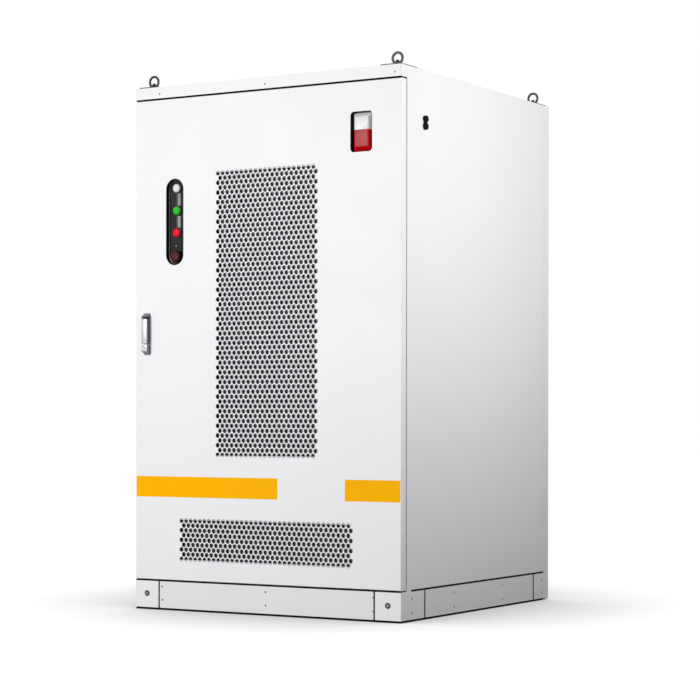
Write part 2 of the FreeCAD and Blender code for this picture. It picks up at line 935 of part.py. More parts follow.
def indicator_tray():
    """A dark cup behind the window that carries the lamps and the emergency button."""
    start = skin_back
    back = tray_face + sheet
    half_width = window_width / 2 + tray_flange
    half_height = window_height / 2 + tray_flange
    flange = box(
        (window_x - half_width, window_x + half_width),
        (start, start + sheet),
        (window_middle - half_height, window_middle + half_height),
    )
    cup = obround(window_width + 2 * sheet, window_height + 2 * sheet, window_x, window_middle, (start, back))
    hollow = obround(window_width, window_height, window_x, window_middle, (start, tray_face))
    tray = join([flange, cup]).cut(hollow)
    holes = []
    for height in (white_lamp_height, green_lamp_height, red_lamp_height, button_height):
        holes.append(square_y(neck_size(height) + 2 * seat_gap, window_x, height, (tray_face, back)))
    return tray.cut(group(holes))


def neck_size(height):
    """The square neck of a lamp, or the wider one of the emergency button."""
    if height == button_height:
        return button_collar_size - 2 * heavy_sheet
    return lamp_neck_size


def square_y(size, x, z, y_span):
    """A square bar along Y."""
    half = size / 2
    return box((x - half, x + half), y_span, (z - half, z + half))


def signal_lamp(height):
    """A pilot lamp: lens, bezel, neck and the block behind the tray."""
    bezel_front = tray_face - lamp_bezel_thickness
    back = tray_face + sheet
    centre = Vector(window_x, 0, height)
    radii = (lamp_lens_tip_radius, lamp_lens_base_radius)
    lens_front = bezel_front - lamp_lens_length
    return join([
        many_sided_taper(radii, centre, Vector(0, 1, 0), lens_front, bezel_front),
        many_sided_y(lamp_bezel_radius, small_round_sides, window_x, height, (bezel_front, tray_face)),
        square_y(neck_size(height), window_x, height, (tray_face, back)),
        square_y(lamp_block_size, window_x, height, (back, back + lamp_block_length)),
    ])


def button_base():
    """The emergency button's collar and the switch block behind the tray."""
    back = tray_face + sheet
    collar_span = (tray_face - button_collar_thickness, tray_face)
    collar = square_y(button_collar_size, window_x, button_height, collar_span)
    block = square_y(button_collar_size, window_x, button_height, (back, back + button_block_length))
    neck = square_y(neck_size(button_height), window_x, button_height, (tray_face, back))
    bore_end = back + button_travel + 2 * seat_gap
    bore_span = (tray_face - button_collar_thickness, bore_end)
    bore = square_y(button_stem_size + 2 * seat_gap, window_x, button_height, bore_span)
    return join([collar, neck, block]).cut(bore)


def emergency_button():
    """A mushroom head on a square stem, which is pushed in along Y."""
    head_back = tray_face - button_collar_thickness - button_travel - 2 * seat_gap
    head_front = head_back - button_head_length
    rim_front = head_front + button_head_length / 2
    centre = Vector(window_x, 0, button_height)
    radii = (button_crown_radius, button_head_radius)
    return join([
        many_sided_taper(radii, centre, Vector(0, 1, 0), head_front, rim_front),
        many_sided_y(button_head_radius, small_round_sides, window_x, button_height, (rim_front, head_back)),
        square_y(button_stem_size, window_x, button_height, (head_back, tray_face + sheet)),
    ])


# Alarm

def alarm_spans():
    half_width = alarm_cut_width / 2 - alarm_border
    half_height = alarm_cut_height / 2 - alarm_border
    x_span = (alarm_x - half_width, alarm_x + half_width)
    z_span = (alarm_middle - half_height, alarm_middle + half_height)
    split = z_span[1] - alarm_lens_share * (z_span[1] - z_span[0])
    return x_span, z_span, split


def alarm_front():
    """The alarm in front of its base block: a wedge whose four sides lean in towards the door's face."""
    x_span, z_span, _ = alarm_spans()
    near_x = (x_span[0] + alarm_lean, x_span[1] - alarm_lean)
    near_z = (z_span[0] + alarm_lean, z_span[1] - alarm_lean)
    lens_back = skin_back + alarm_lens_depth
    return Part.makeWedge(
        near_x[0], front, near_z[0], z_span[0], x_span[0],
        near_x[1], lens_back, near_z[1], z_span[1], x_span[1],
    )


def alarm_base():
    """The red sounder on its base block, which an arm above and below holds against the door."""
    x_span, z_span, split = alarm_spans()
    lens_back = skin_back + alarm_lens_depth
    arm_x = (x_span[0] + alarm_ear, x_span[1] - alarm_ear)
    reach = alarm_border + alarm_ear
    pieces = [
        alarm_front().common(box(x_span, (front, lens_back), (z_span[0], split))),
        box(x_span, (lens_back, skin_back + alarm_depth), z_span),
    ]
    for inner, outer in ((z_span[1], z_span[1] + reach), (z_span[0], z_span[0] - reach)):
        foot = outer + alarm_wall * (1 if outer < inner else -1)
        pieces.append(box(arm_x, (lens_back, lens_back + alarm_wall), sorted((inner, outer))))
        pieces.append(box(arm_x, (skin_back, lens_back), sorted((foot, outer))))
    return join(pieces)


def alarm_lens():
    """The light's cover above the sounder."""
    x_span, z_span, split = alarm_spans()
    return alarm_front().common(box(x_span, (front, skin_back + alarm_lens_depth), (split, z_span[1])))


# Lock

def lock_housing():
    """A low floor with a slanted block above the lever and a key block below it."""
    x_span = (lock_x - lock_width / 2, lock_x + lock_width / 2)
    gap_top = lock_lever_top + lock_gap
    top_outline = [
        (front, lock_top),
        (lever_front, lock_top - lock_slant),
        (lever_front, gap_top - lock_nose),
        (front, gap_top - lock_nose),
    ]
    key_top = lock_lever_bottom - key_block_clearance
    key_outline = [
        (front, lock_bottom),
        (lever_front, lock_bottom + lock_slant),
        (lever_front, key_top),
        (front, key_top),
    ]
    housing = join([
        box(x_span, (front - lock_floor, front), (lock_bottom, lock_top)),
        prism_x(top_outline, x_span),
        prism_x(key_outline, x_span),
    ])
    shaft_hole = rod_y(rotor_shaft_radius + running_gap, lock_x, lock_pivot_z, (front - lock_floor, front))
    housing = housing.cut(shaft_hole)
    key_span = (lever_front, lever_front + key_length + seat_gap)
    return housing.cut(rod_y(key_radius + running_gap, lock_x, key_z, key_span))


def key_cylinder():
    """The lock's plug, a little proud of the key block, with a key slot."""
    span = (lever_front - 2 * seat_gap, lever_front + key_length)
    plug = rod_y(key_radius, lock_x, key_z, span)
    slot = box(
        (lock_x - key_slot_width / 2, lock_x + key_slot_width / 2),
        (span[0], span[0] + key_length / 2),
        (key_z - key_slot_height / 2, key_z + key_slot_height / 2),
    )
    return plug.cut(slot)


def lock_rotor():
    """The shaft that the lever turns, with the lever's tongue and pin in front and the cam behind."""
    cam_front = rod_front + rod_thickness + seat_gap
    half = lever_tongue / 2
    tongue = box(
        (lock_x - half, lock_x + half),
        (lever_pin_y, front - lock_floor),
        (lock_pivot_z - half, lock_pivot_z + half),
    )
    nose_reach = half * math.sqrt(3) / 2
    nose = prism_x(
        [
            (lever_pin_y, lock_pivot_z - half),
            (lever_pin_y, lock_pivot_z + half),
            (lever_pin_y - nose_reach, lock_pivot_z + half / 2),
            (lever_pin_y - nose_reach, lock_pivot_z - half / 2),
        ],
        (lock_x - half, lock_x + half),
    )
    pin_start = Vector(lock_x - lever_pin_half_length, lever_pin_y, lock_pivot_z)
    pin = Part.makeCylinder(lever_pin_radius, 2 * lever_pin_half_length, pin_start, Vector(1, 0, 0))
    shaft = rod_y(rotor_shaft_radius, lock_x, lock_pivot_z, (front - lock_floor, cam_front))
    cam = box(
        (lock_x - cam_reach, lock_x + cam_reach),
        (cam_front, cam_front + cam_thickness),
        (lock_pivot_z - cam_width / 2, lock_pivot_z + cam_width / 2),
    )
    cam = cam.makeChamfer(cam_width / 4, edges_along_y(cam))
    return join([tongue, nose, pin, shaft, cam])


def lock_lever():
    """The handle, slotted at its top for the rotor's tongue and bored for the pin."""
    x_span = (lock_x - lock_width / 2, lock_x + lock_width / 2)
    outline = [
        (lever_front, lock_lever_bottom),
        (lever_front, lock_lever_top),
        (lever_back - lever_chamfer, lock_lever_top),
        (lever_back, lock_lever_top - lever_chamfer),
        (lever_back, lock_lever_bottom + lever_chamfer),
        (lever_back - lever_chamfer, lock_lever_bottom),
    ]
    lever = prism_x(outline, x_span)
    half = (lever_tongue + lever_tongue_slack) / 2
    slot = box(
        (lock_x - half, lock_x + half),
        (lever_pin_y - half, lever_back),
        (lock_pivot_z - half - seat_gap, lock_lever_top),
    )
    bore_half = lever_pin_half_length + seat_gap
    bore_start = Vector(lock_x - bore_half, lever_pin_y, lock_pivot_z)
    bore = Part.makeCylinder(lever_pin_radius + running_gap, 2 * bore_half, bore_start, Vector(1, 0, 0))
    return lever.cut(slot).cut(bore)


def lock_rod(upper):
    """A flat rod from the cam to just past the door's end."""
    if upper:
        x = lock_x - rod_offset
        start = lock_pivot_z - rod_overlap
        tip = door_top + rod_tip_reach
    else:
        x = lock_x + rod_offset
        start = lock_pivot_z + rod_overlap
        tip = door_bottom - rod_tip_reach
    low = min(start, tip)
    high = max(start, tip)
    half = rod_width / 2
    return box((x - half, x + half), (rod_front, rod_front + rod_thickness), (low, high))


def rod_guides():
    """Slotted blocks behind the door's sheet, two for each rod."""
    back = rod_front + rod_thickness + heavy_sheet
    slot_half = rod_width / 2 + seat_gap
    slot_depth = (rod_front - seat_gap, rod_front + rod_thickness + seat_gap)
    places = [
        (lock_x - rod_offset, door_top - guide_end_margin),
        (lock_x - rod_offset, (door_top + lock_pivot_z) / 2),
        (lock_x + rod_offset, (door_bottom + lock_pivot_z) / 2),
        (lock_x + rod_offset, door_bottom + guide_end_margin),
    ]
    pieces = []
    for x, z in places:
        height = (z - guide_height / 2, z + guide_height / 2)
        block = box((x - guide_size / 2, x + guide_size / 2), (skin_back, back), height)
        pieces.append(block.cut(box((x - slot_half, x + slot_half), slot_depth, height)))
    return group(pieces)


# Battery rack

def angle_post(x_span, y_span, z_span, x_wall, y_wall):
    """An upright angle from a plate across X and a plate along Y."""
    return join([box(x_span, y_wall, z_span), box(x_wall, y_span, z_span)])


def battery_rack():
    """Four uprights tied at the top, and a pair of shelf angles for each module."""
    z_span = (floor_top, rack_top)
    rack_rear = rack_front + rack_depth
    pieces = []
    for side in (-1, 1):
        outer = rack_middle + side * rack_width / 2
        inner = outer - side * upright_width
        x_span = (min(inner, outer), max(inner, outer))
        wall_x = (min(inner, inner + side * upright_wall), max(inner, inner + side * upright_wall))
        front_span = (rack_front, rack_front + upright_depth)
        rear_span = (rack_rear - upright_depth, rack_rear)
        front_wall = (rack_front, rack_front + upright_wall)
        rear_wall = (rack_rear - upright_wall, rack_rear)
        pieces.append(angle_post(x_span, front_span, z_span, wall_x, front_wall))
        pieces.append(angle_post(x_span, rear_span, z_span, wall_x, rear_wall))
        pieces += shelf_angles(inner, side)
    tie = (rack_top, rack_top + upright_wall)
    for y_span in ((rack_front, rack_front + upright_depth), (rack_rear - upright_depth, rack_rear)):
        pieces.append(box((rack_left, rack_right), y_span, tie))
    return group(pieces)


def shelf_angles(face, side):
    """Angles along the inner faces of the uprights on one side of the rack."""
    reach = (rack_front + upright_wall, rack_front + rack_depth - upright_wall)
    upright_leg = (min(face, face - side * shelf_wall), max(face, face - side * shelf_wall))
    flat_leg = (min(face, face - side * shelf_leg), max(face, face - side * shelf_leg))
    pieces = []
    for index in range(module_count):
        seat = module_seat(index)
        pieces.append(join([
            box(upright_leg, reach, (seat - shelf_wall, seat + shelf_leg)),
            box(flat_leg, reach, (seat - shelf_wall, seat)),
        ]))
    return pieces


def module_seat(index):
    return floor_top + module_start + index * module_spacing


def battery_module(index):
    """A battery case with a rack plate, two grips, two terminals and a display."""
    seat = module_seat(index)
    top = seat + module_height
    half = module_width / 2
    case = box((rack_middle - half, rack_middle + half), (rack_front, rack_front + module_depth), (seat, top))
    plate_half = rack_width / 2 - plate_margin
    plate_front = rack_front - plate_thickness
    plate = box((rack_middle - plate_half, rack_middle + plate_half), (plate_front, rack_front), (seat, top))
    pieces = [case, plate]
    middle = (seat + top) / 2
    for side in (-1, 1):
        grip_x = rack_middle + side * (plate_half - grip_inset)
        pieces.append(grip(grip_x, middle, plate_front))
        terminal_x = rack_middle + side * terminal_spacing / 2
        terminal_span = (plate_front - terminal_length, plate_front)
        pieces.append(square_y(terminal_size, terminal_x, seat + module_height / 4, terminal_span))
    display_x = (rack_middle - display_width / 2, rack_middle + display_width / 2)
    display_z = (middle, middle + display_height)
    pieces.append(box(display_x, (plate_front - display_depth, plate_front), display_z))
    return join(pieces)


def grip(x, z, plate_front):
    """A bow grip, upright, on a module's plate."""
    outer = box(
        (x - grip_bar / 2, x + grip_bar / 2),
        (plate_front - grip_reach, plate_front),
        (z - grip_height / 2, z + grip_height / 2),
    )
    inner = box(
        (x - grip_bar / 2, x + grip_bar / 2),
        (plate_front - grip_reach + grip_bar, plate_front),
        (z - grip_height / 2 + grip_bar, z + grip_height / 2 - grip_bar),
    )
    return outer.cut(inner)


# Converter and fan

def power_converter():
    """The converter's closed case, which stands on the floor."""
    return box((bay_left, bay_right), (rack_front, rack_front + converter_depth), (floor_top, converter_top))


def fan_frame():
    """A square fan frame with a round duct, a bar across its back and a boss for the shaft."""
    half = fan_size / 2
    span = (rack_front - fan_depth, rack_front)
    frame = box((bay_middle - half, bay_middle + half), span, (fan_z - half, fan_z + half))
    frame = frame.cut(many_sided_y(fan_duct_radius, fan_duct_sides, bay_middle, fan_z, span))
    spoke_span = (rack_front - fan_spoke_depth, rack_front)
    reach = fan_duct_radius + sheet
    width = fan_spoke_width / 2
    level = box((bay_middle - reach, bay_middle + reach), spoke_span, (fan_z - width, fan_z + width))
    boss_span = (rack_front - fan_shaft_length - fan_spoke_depth / 2, rack_front)
    boss = many_sided_y(fan_boss_radius, small_round_sides, bay_middle, fan_z, boss_span)
    shaft_span = (boss_span[0], boss_span[0] + fan_shaft_length)
    bore = rod_y(fan_shaft_radius + running_gap, bay_middle, fan_z, shaft_span)
    return join([frame, level, boss]).cut(bore)


def fan_rotor():
    """A hub with pitched blades and a shaft that runs in the frame's boss."""
    hub_back = rack_front - fan_shaft_length - fan_spoke_depth / 2 - seat_gap
    hub_front = rack_front - fan_depth + fan_tip_gap
    hub = many_sided_y(fan_hub_radius, 2 * fan_blade_count, bay_middle, fan_z, (hub_front, hub_back))
    shaft_end = hub_back + fan_shaft_length - seat_gap
    shaft = rod_y(fan_shaft_radius, bay_middle, fan_z, (hub_back, shaft_end))
    centre = Vector(bay_middle, (hub_front + hub_back) / 2, fan_z)
    inner = fan_hub_radius - sheet
    outer = fan_duct_radius - fan_tip_gap
    pieces = [hub, shaft]
    for index in range(fan_blade_count):
        blade = Part.makeBox(fan_blade_chord, fan_blade_thickness, outer - inner)
        blade.translate(Vector(-fan_blade_chord / 2, -fan_blade_thickness / 2, inner))
        blade.rotate(Vector(0, 0, 0), Vector(0, 0, 1), fan_blade_pitch)
        blade.rotate(Vector(0, 0, 0), Vector(0, 1, 0), 360 * index / fan_blade_count)
        blade.translate(centre)
        pieces.append(blade)
    return join(pieces)


# Switch plate and what it carries

def switch_plate():
    """A folded plate that stands on the converter, with standoffs for the busbars."""
    face = (switch_plate_front, switch_plate_front + heavy_sheet)
    height = (converter_top, converter_top + switch_plate_height)
    flange = (switch_plate_front, switch_plate_front + switch_plate_flange)
    pieces = [
        box((bay_left, bay_right), face, height),
        box((bay_left, bay_left + heavy_sheet), flange, height),
        box((bay_right - heavy_sheet, bay_right), flange, height),
        box((bay_left, bay_right), flange, (converter_top, converter_top + heavy_sheet)),
    ]
    standoff_span = (switch_plate_front - standoff_length, switch_plate_front)
    for x, z in standoff_places():
        pieces.append(many_sided_y(standoff_radius, 6, x, z, standoff_span))
    return join(pieces)


def busbar_levels():
    return [busbar_z - busbar_spacing / 2, busbar_z + busbar_spacing / 2]


def standoff_places():
    reach = busbar_length / 2 - standoff_inset
    return [(bay_middle + side * reach, z) for side in (-1, 1) for z in busbar_levels()]


def busbars():
    back = switch_plate_front - standoff_length
    x_span = (bay_middle - busbar_length / 2, bay_middle + busbar_length / 2)
    pieces = []
    for z in busbar_levels():
        height = (z - busbar_height / 2, z + busbar_height / 2)
        pieces.append(box(x_span, (back - busbar_thickness, back), height))
    return group(pieces)


def breaker_block():
    """The row of breakers, with a trough for the ganged toggle."""
    z = breaker_z
    x_span = (bay_middle - breaker_width / 2, bay_middle + breaker_width / 2)
    y_span = (switch_plate_front - breaker_depth, switch_plate_front)
    block = box(x_span, y_span, (z - breaker_height / 2, z + breaker_height / 2))
    nose = box(
        x_span,
        (y_span[0] - toggle_radius, y_span[0]),
        (z - breaker_height / 4, z + breaker_height / 4),
    )
    trough_half = toggle_width / 2 + seat_gap
    start = Vector(bay_middle - trough_half, toggle_pivot_y(), z)
    trough = Part.makeCylinder(toggle_radius + running_gap, 2 * trough_half, start, Vector(1, 0, 0))
    return join([block, nose]).cut(trough)


def toggle_pivot_y():
    return switch_plate_front - breaker_depth - toggle_radius / 2


def breaker_toggle():
    """A ganged toggle bar with a round back, which leans down at rest."""
    z = breaker_z
    y = toggle_pivot_y()
    half = toggle_width / 2
    start = Vector(bay_middle - half, y, z)
    barrel = Part.makeCylinder(toggle_radius, toggle_width, start, Vector(1, 0, 0))
    blade = box(
        (bay_middle - half, bay_middle + half),
        (y - toggle_reach, y),
        (z - toggle_thickness / 2, z + toggle_thickness / 2),
    )
    blade.rotate(Vector(bay_middle, y, z), Vector(1, 0, 0), toggle_lean)
    return join([barrel, blade])


def isolator_base():
    """The main isolator's body on the switch plate, bored for the knob's shaft."""
    z = isolator_z
    half = isolator_size / 2
    y_span = (switch_plate_front - isolator_depth, switch_plate_front)
    base = box((bay_middle - half, bay_middle + half), y_span, (z - half, z + half))
    bore_span = (y_span[0], y_span[0] + isolator_shaft_length)
    return base.cut(rod_y(isolator_shaft_radius + running_gap, bay_middle, z, bore_span))


def isolator_knob():
    """A knob with a grip across it, on a shaft."""
    z = isolator_z
    face = switch_plate_front - isolator_depth
    disc_span = (face - isolator_knob_depth / 2, face - seat_gap)
    grip_span = (face - isolator_knob_depth, disc_span[0])
    half = isolator_grip_width / 2
    reach = isolator_knob_length / 2
    return join([
        many_sided_y(reach, small_round_sides, bay_middle, z, disc_span),
        box((bay_middle - half, bay_middle + half), grip_span, (z - reach + sheet, z + reach - sheet)),
        rod_y(isolator_shaft_radius, bay_middle, z, (disc_span[1], face + isolator_shaft_length - seat_gap)),
    ])


def control_unit():
    z = controller_z
    x_span = (bay_middle - controller_width / 2, bay_middle + controller_width / 2)
    y_span = (switch_plate_front - controller_depth, switch_plate_front)
    case = box(x_span, y_span, (z - controller_height / 2, z + controller_height / 2))
    edges = [edge for edge in case.Edges if edge.BoundBox.YMax < y_span[0] + seat_gap]
    return case.makeChamfer(heavy_sheet, edges)


# All nodes

def all_nodes():
    nodes = {}
    for side, side_name in ((-1, "left"), (1, "right")):
        for at_front, end_name in ((True, "front"), (False, "rear")):
            nodes["plinth_corner_%s_%s" % (end_name, side_name)] = plinth_corner(side, at_front)
        nodes["plinth_cover_%s" % side_name] = plinth_side_cover(side)
        nodes["side_panel_%s" % side_name] = side_panel(side)
    nodes["plinth_cover_front"] = plinth_end_cover(True)
    nodes["plinth_cover_rear"] = plinth_end_cover(False)
    nodes["plinth_bolts"] = plinth_bolts()
    nodes["corner_posts"] = corner_posts()
    top_rails = rails((frame_top - rail_height, frame_top))
    nodes["frame_rails"] = group(rails((plinth_height, floor_level)) + top_rails)
    nodes["floor_plate"] = floor_plate()
    nodes["fascia"] = fascia()
    nodes["roof_panel"] = roof_panel()
    nodes["rear_cover"] = rear_cover()
    nodes["lifting_plates"] = lifting_plates()
    nodes["eye_bolts"] = eye_bolts()
    nodes["blanking_plugs"] = blanking_plugs()
    nodes["hinge_pins"] = hinge_pins()
    nodes["door_seal"] = door_seal()
    nodes["battery_rack"] = battery_rack()
    for index in range(module_count):
        nodes["battery_module_%d" % (index + 1)] = battery_module(index)
    nodes["power_converter"] = power_converter()
    nodes["fan_frame"] = fan_frame()
    nodes["fan_rotor"] = fan_rotor()
    nodes["switch_plate"] = switch_plate()
    nodes["busbars"] = busbars()
    nodes["breaker_block"] = breaker_block()
    nodes["breaker_toggle"] = breaker_toggle()
    nodes["isolator_base"] = isolator_base()
    nodes["isolator_knob"] = isolator_knob()
    nodes["control_unit"] = control_unit()
    nodes["door_skin"] = door_skin()
    nodes["door_stiffeners"] = door_stiffeners()
    nodes["hinge_bushes"] = hinge_bushes()
    nodes["filter_mats"] = filter_mats()
    nodes["indicator_tray"] = indicator_tray()
    nodes["white_lamp"] = signal_lamp(white_lamp_height)
    nodes["green_lamp"] = signal_lamp(green_lamp_height)
    nodes["red_lamp"] = signal_lamp(red_lamp_height)
    nodes["button_base"] = button_base()
    nodes["emergency_button"] = emergency_button()
    nodes["alarm_base"] = alarm_base()
    nodes["alarm_lens"] = alarm_lens()
    nodes["lock_housing"] = lock_housing()
    nodes["lock_rotor"] = lock_rotor()
    nodes["lock_lever"] = lock_lever()
    nodes["key_cylinder"] = key_cylinder()
    nodes["upper_rod"] = lock_rod(True)
    nodes["lower_rod"] = lock_rod(False)
    nodes["rod_guides"] = rod_guides()
    return nodes


os.makedirs("parts", exist_ok=True)
for node_name, shape in all_nodes().items():
    shape.exportStep("parts/%s.step" % node_name)
    print(node_name, len(shape.Solids), round(shape.Volume), shape.isValid())
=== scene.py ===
# %% [markdown]
# # Dressing a battery storage cabinet
# The solids of this cabinet come from a CAD model: a folded steel body, a hinged door, a lock, a rack
# of battery modules and a converter. This lesson gives them their looks. Pieces whose solid already
# has the right form keep it and get a finish. Pieces with fine detail, such as the perforated door,
# are made again as meshes and stand in for their solids. All sizes are written in millimetres and
# turned to Blender's metres with one factor.

# %% Load the frame
import bpy
import bmesh
from math import cos, pi, radians, sin, sqrt
from mathutils import Matrix, Vector
from mathutils.geometry import delaunay_2d_cdt


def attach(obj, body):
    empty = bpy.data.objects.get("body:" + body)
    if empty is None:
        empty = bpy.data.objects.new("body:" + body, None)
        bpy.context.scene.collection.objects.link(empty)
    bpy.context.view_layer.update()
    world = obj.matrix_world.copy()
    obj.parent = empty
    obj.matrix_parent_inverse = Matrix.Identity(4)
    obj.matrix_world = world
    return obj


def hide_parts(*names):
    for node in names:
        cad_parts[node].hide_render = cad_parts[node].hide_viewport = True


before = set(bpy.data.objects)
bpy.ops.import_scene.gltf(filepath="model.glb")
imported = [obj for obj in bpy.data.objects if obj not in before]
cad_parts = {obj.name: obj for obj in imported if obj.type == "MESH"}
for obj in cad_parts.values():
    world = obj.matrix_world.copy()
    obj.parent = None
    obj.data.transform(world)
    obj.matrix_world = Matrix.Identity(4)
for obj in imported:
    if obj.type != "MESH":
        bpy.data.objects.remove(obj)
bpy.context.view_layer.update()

mm = 0.001

# %% [markdown]
# ## Small tools for materials
# A colour picked on a screen is written in sRGB, but a shader works with linear light, so one
# function turns the usual six-digit hex value into linear numbers. A second one adds a shader node,
# sets its values and links it. The others name what nearly every finish here is made of: a noise
# whose grain has a size in millimetres, a range, a bump and a blend of two colours.

# %% Colour and node tools
def linear(hex_value):
    """A linear RGBA colour from an sRGB hex value such as F3F3F5."""
    channels = []
    for start in (0, 2, 4):
        value = int(hex_value[start:start + 2], 16) / 255
        channels.append(value / 12.92 if value <= 0.04045 else ((value + 0.055) / 1.055) ** 2.4)
    return (*channels, 1.0)


def add_node(tree, kind, settings=None, **inputs):
    """Adds a node. Settings are its options, and inputs are values or the sockets to link from."""
    node = tree.nodes.new(kind)
    for key, value in (settings or {}).items():
        setattr(node, key, value)
    for key, value in inputs.items():
        name = key.replace("_", " ")
        socket = node.inputs[int(name[1:])] if name[0] == "i" and name[1:].isdigit() else node.inputs[name]
        if isinstance(value, bpy.types.NodeSocket):
            tree.links.new(value, socket)
        else:
            socket.default_value = value
    return node


def new_finish(name):
    """A new material with an empty node tree, and the object's own coordinates for its patterns."""
    material = bpy.data.materials.new(name)
    material.use_nodes = True
    tree = material.node_tree
    tree.nodes.clear()
    return material, tree, add_node(tree, "ShaderNodeTexCoord").outputs["Object"]


def noise(tree, place, grain_mm, detail, **more):
    """A noise whose grains are this many millimetres apart."""
    scale = 1 / (grain_mm * mm)
    return add_node(tree, "ShaderNodeTexNoise", Vector=place, Scale=scale, Detail=detail, **more).outputs[0]


def spread(tree, value, low, high, start=0.0, end=1.0):
    """Moves a value from the range between start and end to the one between low and high."""
    return add_node(tree, "ShaderNodeMapRange", Value=value, From_Min=start, From_Max=end,
                    To_Min=low, To_Max=high).outputs[0]


def relief(tree, height, strength, depth_mm):
    """A bump whose full depth is in millimetres."""
    bump = add_node(tree, "ShaderNodeBump", Height=height, Strength=strength, Distance=depth_mm * mm)
    return bump.outputs[0]


def combine(tree, operation, first, second):
    return add_node(tree, "ShaderNodeMath", {"operation": operation}, i0=first, i1=second).outputs[0]


def blend_colours(tree, factor, low, high):
    """The colour between two sRGB hex values that a pattern picks."""
    sides = {"i6": linear(low), "i7": linear(high)}
    return add_node(tree, "ShaderNodeMix", {"data_type": "RGBA"}, Factor=factor, **sides).outputs[2]


def put_out(tree, shader):
    add_node(tree, "ShaderNodeOutputMaterial", Surface=shader.outputs[0])


def principled(tree, **inputs):
    """Ends a finish with the usual surface shader."""
    put_out(tree, add_node(tree, "ShaderNodeBsdfPrincipled", **inputs))


noise_range = (0.3, 0.7)
print("most of a noise lies within", noise_range)
print("white paint is", [round(c, 3) for c in linear("F1F1F3")[:3]])

# %% [markdown]
# ## The camera
# The view is from the front right and low down, with a long lens and the frame shifted upwards, as
# an architectural photographer does it so that upright edges stay upright. The numbers come from
# fitting a pinhole camera to the cabinet's long edges.

# %% Camera
camera_place = Vector((3.86114, -6.46087, 0.65558))
turn, pitch, roll = (radians(angle) for angle in (30.7544, -0.2074, 0.0766))
forward = Vector((-sin(turn) * cos(pitch), cos(turn) * cos(pitch), sin(pitch)))
level = Vector((cos(turn), sin(turn), 0))
upward = level.cross(forward)
rolled_level = level * cos(roll) + upward * sin(roll)
rolled_upward = upward * cos(roll) - level * sin(roll)

lens = bpy.data.cameras.new("studio_camera")
lens.lens, lens.sensor_width, lens.clip_end = 108.595, 36, 100
lens.shift_x, lens.shift_y = -0.00244, 0.11037
camera = bpy.data.objects.new("studio_camera", lens)
scene = bpy.context.scene
scene.collection.objects.link(camera)
axes = Matrix((rolled_level, rolled_upward, -forward)).transposed()
camera.matrix_world = Matrix.Translation(camera_place) @ axes.to_4x4()
scene.camera = camera
print("camera at", tuple(round(c, 2) for c in camera_place))

# %% [markdown]
# ## Studio
# The cabinet stands on a pale floor in a white room. The camera sees the world as plain white, but
# the world lights the object more gently, so that pale paint doesn't burn out. The floor is a grey
# surface with some light of its own that only the camera and mirrors see: it turns white where the
# lamps reach it and keeps the soft shadow where they don't. An ambient occlusion node dims that
# light close to the plinth. Two large soft lamps do the modelling. The one at the front left lights
# the door, and the one at the upper right fades down the side.

# %% World, floor and lamps
scene.view_settings.view_transform = "Standard"
room_level, shade_reach, floor_reach = 0.2325, 0.9, 30.0
world = bpy.data.worlds.new("white_room")
scene.world = world
world.use_nodes = True
tree = world.node_tree
tree.nodes.clear()


def seen_directly(tree):
    """One for camera, mirror and glass rays, and nought for the rays that light the object."""
    rays = add_node(tree, "ShaderNodeLightPath").outputs
    seen = combine(tree, "MAXIMUM", rays["Is Camera Ray"], rays["Is Transmission Ray"])
    return combine(tree, "MAXIMUM", seen, rays["Is Glossy Ray"])


strength = spread(tree, seen_directly(tree), room_level, 1.0)
room = add_node(tree, "ShaderNodeBackground", Color=linear("FFFFFF"), Strength=strength)
add_node(tree, "ShaderNodeOutputWorld", Surface=room.outputs[0])

floor_mesh = bpy.data.meshes.new("studio_floor")
corners = [(x * floor_reach, y * floor_reach, 0) for x, y in ((-1, -1), (1, -1), (1, 1), (-1, 1))]
floor_mesh.from_pydata(corners, [], [(0, 1, 2, 3)])
studio_floor = bpy.data.objects.new("studio_floor", floor_mesh)
studio_floor.location.z = -0.5 * mm
scene.collection.objects.link(studio_floor)
material, tree, place = new_finish("matt_studio_floor")
open_share = add_node(tree, "ShaderNodeAmbientOcclusion", {"samples": 8}, Distance=shade_reach).outputs["AO"]
matt = add_node(tree, "ShaderNodeBsdfDiffuse", Color=linear("6C6C6D"))
glow = add_node(tree, "ShaderNodeEmission", Color=linear("FFFFFF"),
                Strength=combine(tree, "MULTIPLY", seen_directly(tree), open_share))
put_out(tree, add_node(tree, "ShaderNodeAddShader", i0=matt.outputs[0], i1=glow.outputs[0]))
floor_mesh.materials.append(material)


def soft_lamp(name, place, aim, size, power):
    """A large square lamp that looks at a point."""
    data = bpy.data.lights.new(name, "AREA")
    data.shape, data.size, data.energy = "SQUARE", size, power
    lamp = bpy.data.objects.new(name, data)
    lamp.location = place
    lamp.rotation_euler = (Vector(aim) - Vector(place)).to_track_quat("-Z", "Y").to_euler()
    scene.collection.objects.link(lamp)


soft_lamp("front_left_softbox", (-1.69, -5.23, 2.03), (0.44, -0.5, -0.78), 1.7, 225)
soft_lamp("upper_right_softbox", (2.64, -0.37, 1.71), (0.53, -0.5, 3.1), 2.2, 60)

# %% [markdown]
# ## Powder coat
# The skin is sheet steel with a polyester powder coat, baked until it flows. It is smooth from afar
# and has a fine orange peel close by, which is a low bump about a millimetre and a half apart. Under
# a large lamp that peel softens the reflections, so the roughness stays in the middle. A second,
# much wider pattern moves the tone by a hair, as a real coat never has one thickness. The front
# plinth cover gets a white that is a little darker, which is painted shade for the dim low front.

# %% Powder coats
powder_roughness = (0.46, 0.54)


